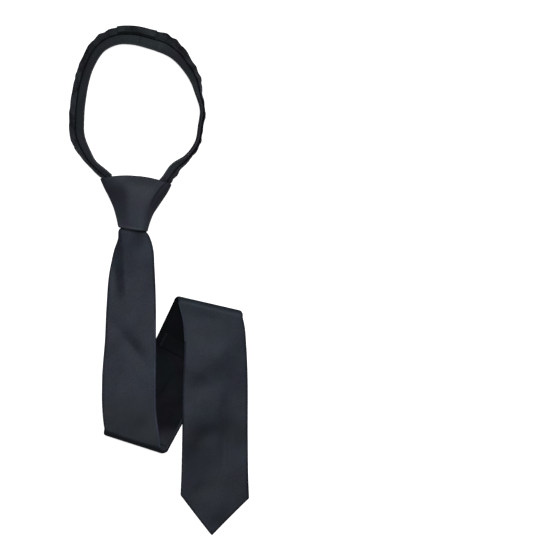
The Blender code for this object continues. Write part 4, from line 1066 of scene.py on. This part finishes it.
def put_node(tree, kind, inputs=(), **settings):
    """A shader node with its own settings and its inputs, and from it its outputs."""
    node = tree.nodes.new("ShaderNode" + kind)
    for label, value in settings.items():
        setattr(node, label, value)
    return fill(tree, node, inputs).outputs


def maths(tree, operation, *values):
    """A maths node on one or two values, each a socket or a number."""
    return put_node(tree, "Math", enumerate(values), operation=operation)[0]


def rib_group():
    """Diagonal ribs: turns the place on the cloth, takes a sine across the ribs and a finer one along each rib,
    shifted from rib to rib like the yarns of a twill. The ribs give three quarters of the height."""
    tree, given, made = node_group(
        "Diagonal ribs", (("Place", "Vector", None), ("Pitch", "Float", 0.6), ("Turn", "Float", 0.8)),
        (("Rib", "Float"), ("Height", "Float")))
    turned = put_node(tree, "VectorRotate", {"Vector": given["Place"], "Angle": given["Turn"]}, rotation_type="Z_AXIS")
    split = put_node(tree, "SeparateXYZ", {0: turned[0]})
    across, along = (maths(tree, "DIVIDE", split[axis], given["Pitch"]) for axis in ("X", "Y"))

    def wave(angle):
        """A sine's share of its way up, from 0 to 1."""
        return maths(tree, "ADD", maths(tree, "MULTIPLY", maths(tree, "SINE", angle), 0.5), 0.5)

    rib = wave(maths(tree, "MULTIPLY", across, 2 * math.pi))
    stagger = maths(tree, "MULTIPLY", maths(tree, "FLOOR", across), YARN_STAGGER)
    yarn = wave(maths(tree, "ADD", maths(tree, "MULTIPLY", along, YARNS * math.pi), stagger))
    yarn = maths(tree, "MULTIPLY", yarn, rib)
    height = maths(tree, "ADD", maths(tree, "MULTIPLY", rib, RIB_SHARE),
                   maths(tree, "MULTIPLY", yarn, 1.0 - RIB_SHARE))
    fill(tree, made, {"Rib": rib, "Height": height})
    return tree


def weave_group():
    """Plain weave: the product of two sines, one across and one along, for a close woven tape or lining."""
    tree, given, made = node_group(
        "Plain weave", (("Place", "Vector", None), ("Pitch", "Float", 0.4), ("Stretch", "Float", 1.0)),
        (("Rib", "Float"), ("Height", "Float")))
    split = put_node(tree, "SeparateXYZ", {0: given["Place"]})
    long = maths(tree, "MULTIPLY", given["Pitch"], given["Stretch"])
    threads = [maths(tree, "SINE", maths(tree, "MULTIPLY", maths(tree, "DIVIDE", place, pitch), math.pi))
               for place, pitch in ((split["X"], given["Pitch"]), (split["Y"], long))]
    height = maths(tree, "ABSOLUTE", maths(tree, "MULTIPLY", *threads))
    fill(tree, made, {"Rib": height, "Height": height})
    return tree


def tone_group():
    """Tone of a dyed cloth: painted shade in the valleys between the threads, with slow patches and fine slubs over
    it, its hue shifted a little from place to place, and its level, which may carry painted light and shade along Y."""
    tree, given, made = node_group(
        "Cloth tone",
        (("Color", "Color", (0.02, 0.02, 0.03, 1.0)), ("Rib", "Float", 1.0), ("Depth", "Float", 0.3),
         ("Patches", "Float", 0.12), ("Rough", "Float", 0.6), ("Patch scale", "Float", 38.0), ("Level", "Float", 1.0)),
        (("Color", "Color"), ("Roughness", "Float")))
    place = put_node(tree, "TexCoord")["Object"]

    def noise(scale, detail):
        return put_node(tree, "TexNoise", {"Vector": place, "Scale": scale, "Detail": detail})["Fac"]

    patch, slub, rib = (maths(tree, "SUBTRACT", value, 0.5)
                        for value in (noise(given["Patch scale"], 3.0), noise(SLUB_SCALE, 2.0), given["Rib"]))
    uneven = maths(tree, "MULTIPLY", maths(tree, "ADD", maths(tree, "MULTIPLY", patch, 2.0), slub), given["Patches"])
    shade = maths(tree, "MULTIPLY", rib, given["Depth"])
    level = maths(tree, "MULTIPLY", maths(tree, "ADD", maths(tree, "ADD", uneven, shade), 1.0), given["Level"])
    span = put_node(tree, "MapRange", {
        "From Min": HUE_SPAN[0], "From Max": HUE_SPAN[1], "Value": noise(HUE_SCALE, 1.0)})
    tint = put_node(tree, "Mix", {"A": HUE_WARM, "B": HUE_COOL, "Factor": span["Result"]}, data_type="RGBA")
    dyed = put_node(tree, "VectorMath", {0: given["Color"], 1: tint["Result"]}, operation="MULTIPLY")
    scaled = put_node(tree, "VectorMath", {0: dyed[0], "Scale": level}, operation="SCALE")
    rough = maths(tree, "ADD", maths(tree, "SUBTRACT", given["Rough"], maths(tree, "MULTIPLY", rib, RIB_GLOSS)),
                  maths(tree, "MULTIPLY", patch, PATCH_GLOSS))
    fill(tree, made, {"Color": scaled[0], "Roughness": rough})
    return tree


def painted_light_fade_group():
    """Painted light and shade along the tie: a level, and what each of two smooth steps between two places on Y, in
    metres, adds to it."""
    steps = [(f"{label} {step}", "Float", 0.0) for step in (1, 2) for label in ("From", "To", "Adds")]
    tree, given, made = node_group("Slow fade", (("Level", "Float", 1.0), *steps), (("Level", "Float"),))
    split = put_node(tree, "SeparateXYZ", {0: put_node(tree, "TexCoord")["Object"]})
    level = given["Level"]
    for step in ("1", "2"):
        run = put_node(tree, "MapRange", {
            "Value": split["Y"], "From Min": given["From " + step], "From Max": given["To " + step], "To Min": 0.0,
            "To Max": given["Adds " + step]}, interpolation_type="SMOOTHSTEP")
        level = maths(tree, "ADD", level, run["Result"])
    fill(tree, made, {"Level": level})
    return tree


YARNS, YARN_STAGGER = 3.1, 1.9  # half turns of the finer sine in one pitch, and its shift from rib to rib
RIB_SHARE = 0.75  # of the height of diagonal ribs
SLUB_SCALE, HUE_SCALE, HUE_SPAN = 900.0, 55.0, (0.35, 0.65)
HUE_WARM, HUE_COOL = (1.16, 0.97, 1.12, 1.0), (0.88, 1.05, 0.95, 1.0)
RIB_GLOSS, PATCH_GLOSS = 0.12, 0.2  # how much smoother a rib is than the valley beside it, and a patch
BUMP_DISTANCE = 0.00012
RIB_TURN = math.radians(45.0)  # of the ribs from the blade's length
# Painted light and shade along Y: level at the tie's top, and two steps: where each starts and ends on Y, and what it
# adds. Each cloth's tone is stepped to stand in for how the light falls on it.
PAINTED_LIGHT_FADES = {
    "blade": (0.92, (-96.0, -112.0, -0.42), (-118.0, -132.0, 0.2)),
    "front": (1.05, (-78.0, -104.0, -0.68)),
    "knot": (0.92, (62.0, 44.0, 0.75)),
    "cover_left": (0.55, (172.0, 154.0, 0.4), (112.0, 90.0, 0.9)),
    "cover_right": (0.55, (172.0, 154.0, 0.5), (98.0, 84.0, -0.55)),
    "lining": (1.3, (-46.0, -62.0, 1.3), (-106.0, -122.0, 7.0)),
    "tape": (0.75, (160.0, 140.0, 0.25), (112.0, 90.0, 0.9)),
}
# The cloths: material, dye and its share, ribs or weave, their pitch as a share, turn or stretch, how dark the painted
# shade in the valleys is, bump, sheen, shine, roughness, how strong the patches are and how close together, and the
# fade of painted light and shade
CLOTH_COLUMNS = ("finish", "name", "dye", "share", "threads", "pitch", "shape", "depth", "bump", "sheen", "shine",
                 "rough", "patches", "patch_scale", "fade")
CLOTHS = (
    ("blade", "ribbed_cloth", "blade", 1, "ribs", 1, RIB_TURN, 0.5, 0.55, 0.06, 0.32, 0.56, 1.25, 50, "blade"),
    # The first run's face: the blade's cloth with its own painted shade toward the lower fold
    ("front", "front_cloth", "blade", 1, "ribs", 1, RIB_TURN, 0.5, 0.55, 0.06, 0.32, 0.56, 1.25, 50, "front"),
    # A painted highlight: the blade's cloth 2.6 times paler, with more sheen, along parts of two edges
    ("rim", "folded_edge", "blade", 2.6, "ribs", 1, RIB_TURN, 0.5, 0.55, 0.10, 0.32, 0.56, 0.80, 50, None),
    ("knot", "knot_cloth", "knot", 1, "ribs", 1, -RIB_TURN, 0.5, 0.55, 0.06, 0.34, 0.56, 0.50, 45, "knot"),
    ("cover_left", "gathered_cloth", "gathers", 1, "ribs", 1, RIB_TURN, 0.4, 0.4, 0.04, 0.16, 0.55, 2.1, 110,
     "cover_left"),
    # The right cover: more sheen, and its own painted light and shade along Y
    ("cover_right", "gathered_cloth_right", "gathers", 1, "ribs", 1, RIB_TURN, 0.4, 0.4, 0.20, 0.10, 0.60, 2.1, 110,
     "cover_right"),
    ("joint", "joint_cloth", "gathers", 0.75, "ribs", 1, RIB_TURN, 0.4, 0.4, 0.04, 0.16, 0.55, 1.7, 110, None),
    # Painted shade: the gathered cloth at a quarter of its tone, in the groove at the covers' lips
    ("seam", "cover_seam", "gathers", 0.25, "ribs", 1, RIB_TURN, 0.4, 0.4, 0.0, 0.05, 0.60, 1.0, 110, None),
    ("lining", "black_lining", "lining", 1, "weave", 1, 1.0, 0.3, 0.2, 0.0, 0.02, 0.60, 0.5, 90, "lining"),
    ("band", "keeper_weave", "lining", 1, "weave", 1.4, 0.6, 0.4, 0.4, 0.0, 0.03, 0.60, 0.2, 38, "lining"),
    ("tape", "zip_tape_weave", "tape", 1, "weave", 1, 1.6, 0.5, 0.5, 0.05, 0.30, 0.60, 0.45, 60, "tape"),
)
# The plain finishes: material, roughness and shine. Each has the colour of its own name.
PLAIN_FINISHES = {
    "coil": ("nylon_coil", 0.38, 0.4),
    "thread": ("sewing_thread", 0.55, 0.3),
    "slider": ("slider_enamel", 0.42, 0.5),
}
FINISHES = {}


def new_finish(name):
    """A new material, its tree and its shader."""
    made = bpy.data.materials.new(name)
    made.use_nodes = True
    return made, made.node_tree, made.node_tree.nodes["Principled BSDF"]


def cloth_finish(cloth, dye, thread_group, pitch):
    """A cloth: threads from a group on the piece's own UV map, tone over them, and a bump from their height."""
    made, tree, shader = new_finish(cloth["name"])
    place = put_node(tree, "UVMap", uv_map="cloth")["UV"]
    threads = put_node(tree, "Group", {"Place": place, "Pitch": pitch * cloth["pitch"], 2: cloth["shape"]},
                       node_tree=thread_group)
    tone = {
        "Color": (*(cloth["share"] * value for value in dye), 1.0), "Rib": threads["Rib"], "Depth": cloth["depth"],
        "Patches": cloth["patches"], "Rough": cloth["rough"], "Patch scale": cloth["patch_scale"],
    }
    # Painted light and shade: the cloth's level steps along Y
    if cloth["fade"]:
        level, *steps = PAINTED_LIGHT_FADES[cloth["fade"]]
        fade = {"Level": level}
        for number, (start, end, adds) in enumerate(steps, 1):
            fade.update({f"From {number}": start * MM, f"To {number}": end * MM, f"Adds {number}": adds})
        tone["Level"] = put_node(tree, "Group", fade, node_tree=bpy.data.node_groups["Slow fade"])["Level"]
    tone = put_node(tree, "Group", tone, node_tree=bpy.data.node_groups["Cloth tone"])
    relief = put_node(tree, "Bump", {
        "Strength": cloth["bump"], "Distance": BUMP_DISTANCE, "Height": threads["Height"]})
    fill(tree, shader, {
        "Base Color": tone["Color"], "Roughness": tone["Roughness"], "Normal": relief["Normal"],
        "Specular IOR Level": cloth["shine"], "Specular Tint": (0.78, 0.88, 1.0, 1.0),
        "Sheen Weight": cloth["sheen"], "Sheen Roughness": 0.45, "Sheen Tint": (0.62, 0.68, 0.80, 1.0),
    })
    return made


def plain_finish(name, dye, roughness, shine):
    """Plastic, thread or enamel: one colour with slow patches."""
    made, tree, shader = new_finish(name)
    tone = put_node(tree, "Group", {"Color": (*dye, 1.0), "Depth": 0.0},
                    node_tree=bpy.data.node_groups["Cloth tone"])
    fill(tree, shader, {"Base Color": tone["Color"], "Roughness": roughness, "Specular IOR Level": shine})
    return made


def finish(name):
    """The finish of this name. The first call makes them all."""
    if not FINISHES:
        colours, sizes = bpy.context.scene.zipper_tie_colours, bpy.context.scene.zipper_tie_sizes
        threads = {"ribs": (rib_group(), sizes.rib_pitch / MM), "weave": (weave_group(), sizes.weave_pitch / MM)}
        tone_group()
        painted_light_fade_group()
        for row in CLOTHS:
            cloth = dict(zip(CLOTH_COLUMNS, row))
            dye = getattr(colours, cloth["dye"])
            FINISHES[cloth["finish"]] = cloth_finish(cloth, dye, *threads[cloth["threads"]])
        for key, (material, roughness, shine) in PLAIN_FINISHES.items():
            FINISHES[key] = plain_finish(material, getattr(colours, key), roughness, shine)
    return FINISHES[name]


class TIE_OT_blade(bpy.types.Operator):
    """Make the blade's folded cloth"""

    bl_idname = "tie.blade"
    bl_label = "Blade"

    def execute(self, context):
        piece = make_blade([finish(name) for name in ("blade", "lining", "rim", "front")])
        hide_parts("blade")
        return {"FINISHED"}


class TIE_OT_back(bpy.types.Operator):
    """Make the lining panels on the blade's back, and the keeper across them"""

    bl_idname = "tie.back"
    bl_label = "Lining and keeper"

    def execute(self, context):
        lining = make_back_lining(finish("lining"))
        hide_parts("back_lining")
        keeper = make_keeper(finish("band"))
        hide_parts("keeper_loop")
        return {"FINISHED"}


class TIE_OT_knot(bpy.types.Operator):
    """Make the knot's wound cloth"""

    bl_idname = "tie.knot"
    bl_label = "Knot"

    def execute(self, context):
        piece = make_knot(finish("knot"))
        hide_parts("knot")
        return {"FINISHED"}


class TIE_OT_covers(bpy.types.Operator):
    """Make the neck loop's gathered covers and the joint between them"""

    bl_idname = "tie.covers"
    bl_label = "Gathered covers"

    def execute(self, context):
        sizes = context.scene.zipper_tie_sizes
        joint_from, joint_to, _, end = strap_marks()
        pitch, high = sizes.pleat_pitch / MM, sizes.pleat_high / MM
        # Each cover's second finish is painted shade in the groove at its lip
        covers = (
            ("cover_left", "left_cover", 0.0, joint_from - SLIT, 0.0, CALM_SHARE),
            ("cover_right", "right_cover", joint_to + SLIT, end, RIGHT_START, 0.0),
        )
        for node, name, start, stop, seed, calm in covers:
            piece = make_cover(name, start, stop, pitch, high, [finish(node), finish("seam")], seed=seed, calm=calm)
            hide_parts(node)
        joint = make_cover("nape_joint", joint_from, joint_to, JOINT_PITCH, JOINT_HIGH,
                           [finish("joint"), finish("seam")], proud=JOINT_PROUD, shaded_lip_columns=JOINT_SHADE_COLUMNS)
        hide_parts("neck_joint")
        return {"FINISHED"}


class TIE_OT_zip(bpy.types.Operator):
    """Make the zip's tapes and coils round the neck"""

    bl_idname = "tie.zip"
    bl_label = "Zip tapes and coils"

    def execute(self, context):
        sizes = context.scene.zipper_tie_sizes
        _, _, meet, end = strap_marks()
        for side, start, stop in (("left", 0.0, meet - SLIT), ("right", meet + SLIT, end)):
            tape = make_tape(side + "_tape", start, stop, finish("tape"))
            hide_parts("tape_" + side)
            coil = make_coil(side + "_coil", start, stop, sizes.coil_pitch / MM, sizes.wire / MM, finish("coil"))
            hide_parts("coil_" + side)
        return {"FINISHED"}


class TIE_OT_tail(bpy.types.Operator):
    """Make the closed end of the zip under the blade, and finish its slider"""

    bl_idname = "tie.tail"
    bl_label = "Closed zip and slider"

    def execute(self, context):
        sizes = context.scene.zipper_tie_sizes
        tapes = make_tail_tapes(finish("tape"))
        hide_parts("zip_tail")
        for name, side in (("tail_coil_left", -1.0), ("tail_coil_right", 1.0)):
            coil = make_tail_coil(name, side, sizes.coil_pitch / MM, finish("coil"))
        slider = frame["nodes"]["zip_slider"]
        slider.data.materials.clear()
        slider.data.materials.append(finish("slider"))
        return {"FINISHED"}


class TIE_OT_stitching(bpy.types.Operator):
    """Make the rows of stitches on the neck loop and the keeper"""

    bl_idname = "tie.stitching"
    bl_label = "Stitching"

    def execute(self, context):
        sizes = context.scene.zipper_tie_sizes
        thread, stitch, colour_of = sizes.thread / MM, sizes.stitch / MM, finish("thread")
        joint_from, joint_to, meet, end = strap_marks()
        first, last = STITCH_FROM_KNOT, end - STITCH_FROM_KNOT
        for side, start, stop in (("left", first, joint_from - GAP), ("right", joint_to + GAP, last)):
            strap_stitches("topstitch_" + side, start, stop, TOPSTITCH_OUT, COVER_THICK / 2 * TOPSTITCH_UP,
                           TOPSTITCH_PITCH, stitch, thread, colour_of)
        for side, start, stop in (("left", first, meet), ("right", meet, last)):
            for row, out in enumerate(TAPE_STITCH_OUT, 1):
                strap_stitches(f"tape_stitch_{side}_{row}", start, stop, out, TAPE_THICK / 2 + TAPE_STITCH_UP,
                               sizes.coil_pitch / MM, TAPE_STITCH_LONG, TAPE_STITCH_THREAD, colour_of)
        middle, across, along = keeper_frame()
        half_long, half_wide = (size / 2 for size in KEEPER_SIZE)
        at = np.linspace(TACK_FROM_EDGE - half_wide, half_wide - TACK_FROM_EDGE, TACKS)
        run, up = np.tile([*across, 0.0], (TACKS, 1)), np.tile([0.0, 0.0, 1.0], (TACKS, 1))
        high = np.full(TACKS, BLADE_THICK + 2 * GAP + LINING_THICK + KEEPER_THICK)
        for side, way in (("left", -1), ("right", 1)):
            plan = middle + way * (half_long - TACK_IN) * across + at[:, None] * along
            put_stitches("keeper_tack_" + side, np.column_stack([plan, high]), run, up, TACK_LONG, thread, colour_of)
        return {"FINISHED"}


def soft_light(name, place, size, power, aim):
    """A square area light at a place, pointing at another."""
    lamp = bpy.data.lights.new(name, "AREA")
    lamp.shape = "SQUARE"
    lamp.size = size
    lamp.energy = power
    light = bpy.data.objects.new(name, lamp)
    light.location = place
    light.rotation_euler = (Vector(aim) - Vector(place)).to_track_quat("-Z", "Y").to_euler()
    light.visible_camera = False
    bpy.context.scene.collection.objects.link(light)
    return light


def by_camera(tree, output, seen, unseen):
    """Gives a surface a mix of two shaders: the first is what the camera sees, the second what lights the object."""
    from_camera = put_node(tree, "LightPath")["Is Camera Ray"]
    mix = put_node(tree, "MixShader", {"Fac": from_camera, 1: unseen, 2: seen})
    fill(tree, tree.nodes[output], {"Surface": mix["Shader"]})


def white_table():
    """A table that the camera sees white up to the tie's own shadow, and that throws little light back."""
    made, tree, shader = new_finish("white_table")
    fill(tree, shader, {
        "Base Color": (0.8, 0.8, 0.8, 1.0), "Roughness": 0.9, "Specular IOR Level": 0.0,
        "Emission Color": (1.0, 1.0, 1.0, 1.0), "Emission Strength": 0.82,
    })
    dull = put_node(tree, "BsdfDiffuse", {"Color": (0.16, 0.16, 0.16, 1.0)})
    by_camera(tree, "Material Output", shader.outputs["BSDF"], dull["BSDF"])
    return made


def white_studio(strength):
    """Surroundings that the camera sees white, and that light the tie with little."""
    world = bpy.data.worlds.new("white_studio")
    world.use_nodes = True
    tree = world.node_tree
    seen = fill(tree, tree.nodes["Background"], {"Color": (1.0, 1.0, 1.0, 1.0), "Strength": 1.0})
    unseen = put_node(tree, "Background", {"Color": (0.94, 0.97, 1.0, 1.0), "Strength": strength})
    by_camera(tree, "World Output", seen.outputs["Background"], unseen["Background"])
    return world


class TIE_OT_stage(bpy.types.Operator):
    """Make the floor, the lights and the camera"""

    bl_idname = "tie.stage"
    bl_label = "Stage"

    def execute(self, context):
        scene = context.scene
        colours = scene.zipper_tie_colours
        mesh = bpy.data.meshes.new("table_top")
        corners = [(x * TABLE_REACH, y * TABLE_REACH, TABLE_TOP) for x, y in ((-1, -1), (1, -1), (1, 1), (-1, 1))]
        mesh.from_pydata(corners, [], [(0, 1, 2, 3)])
        mesh.materials.append(white_table())
        table = bpy.data.objects.new("table_top", mesh)
        scene.collection.objects.link(table)
        table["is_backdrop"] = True
        scene.world = white_studio(colours.sky)
        scene.view_settings.view_transform = "Standard"
        soft_light("top_softbox", LIGHT_PLACE, LIGHT_SIZE, colours.key, LIGHT_AIM)

        lens = bpy.data.cameras.new("camera")
        lens.lens = CAMERA_LENS
        lens.sensor_width = 36.0
        lens.clip_start = 0.05
        lens.clip_end = 20.0
        camera = bpy.data.objects.new("camera", lens)
        camera.location = (*PHOTO_MIDDLE, CAMERA_HIGH)
        scene.collection.objects.link(camera)
        scene.camera = camera
        return {"FINISHED"}


PIECES = (TIE_OT_blade, TIE_OT_back, TIE_OT_knot, TIE_OT_covers, TIE_OT_zip, TIE_OT_tail, TIE_OT_stitching,
          TIE_OT_stage)


class TIE_PT_panel(bpy.types.Panel):
    """The tie's pieces, sizes and colours"""

    bl_idname = "TIE_PT_panel"
    bl_label = "Zipper tie"
    bl_space_type = "VIEW_3D"
    bl_region_type = "UI"
    bl_category = "Tie"

    def draw(self, context):
        for operator in PIECES:
            self.layout.operator(operator.bl_idname)
        for group in (context.scene.zipper_tie_sizes, context.scene.zipper_tie_colours):
            for name in group.bl_rna.properties.keys():
                if name not in ("rna_type", "name"):
                    self.layout.prop(group, name)


CLASSES = (ZipperTieSizes, ZipperTieColours, *PIECES, TIE_PT_panel)


def register():
    for made in CLASSES:
        bpy.utils.register_class(made)
    bpy.types.Scene.zipper_tie_sizes = bpy.props.PointerProperty(type=ZipperTieSizes)
    bpy.types.Scene.zipper_tie_colours = bpy.props.PointerProperty(type=ZipperTieColours)


def unregister():
    del bpy.types.Scene.zipper_tie_colours
    del bpy.types.Scene.zipper_tie_sizes
    for made in reversed(CLASSES):
        bpy.utils.unregister_class(made)


def main():
    register()
    bpy.ops.tie.blade()
    bpy.ops.tie.back()
    bpy.ops.tie.knot()
    bpy.ops.tie.covers()
    bpy.ops.tie.zip()
    bpy.ops.tie.tail()
    bpy.ops.tie.stitching()
    bpy.ops.tie.stage()
    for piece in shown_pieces():
        if piece.name not in frame["nodes"] and body_of(piece) is None:
            raise RuntimeError(piece.name + " rides on nothing")
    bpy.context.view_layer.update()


if __name__ == "__main__":
    main()
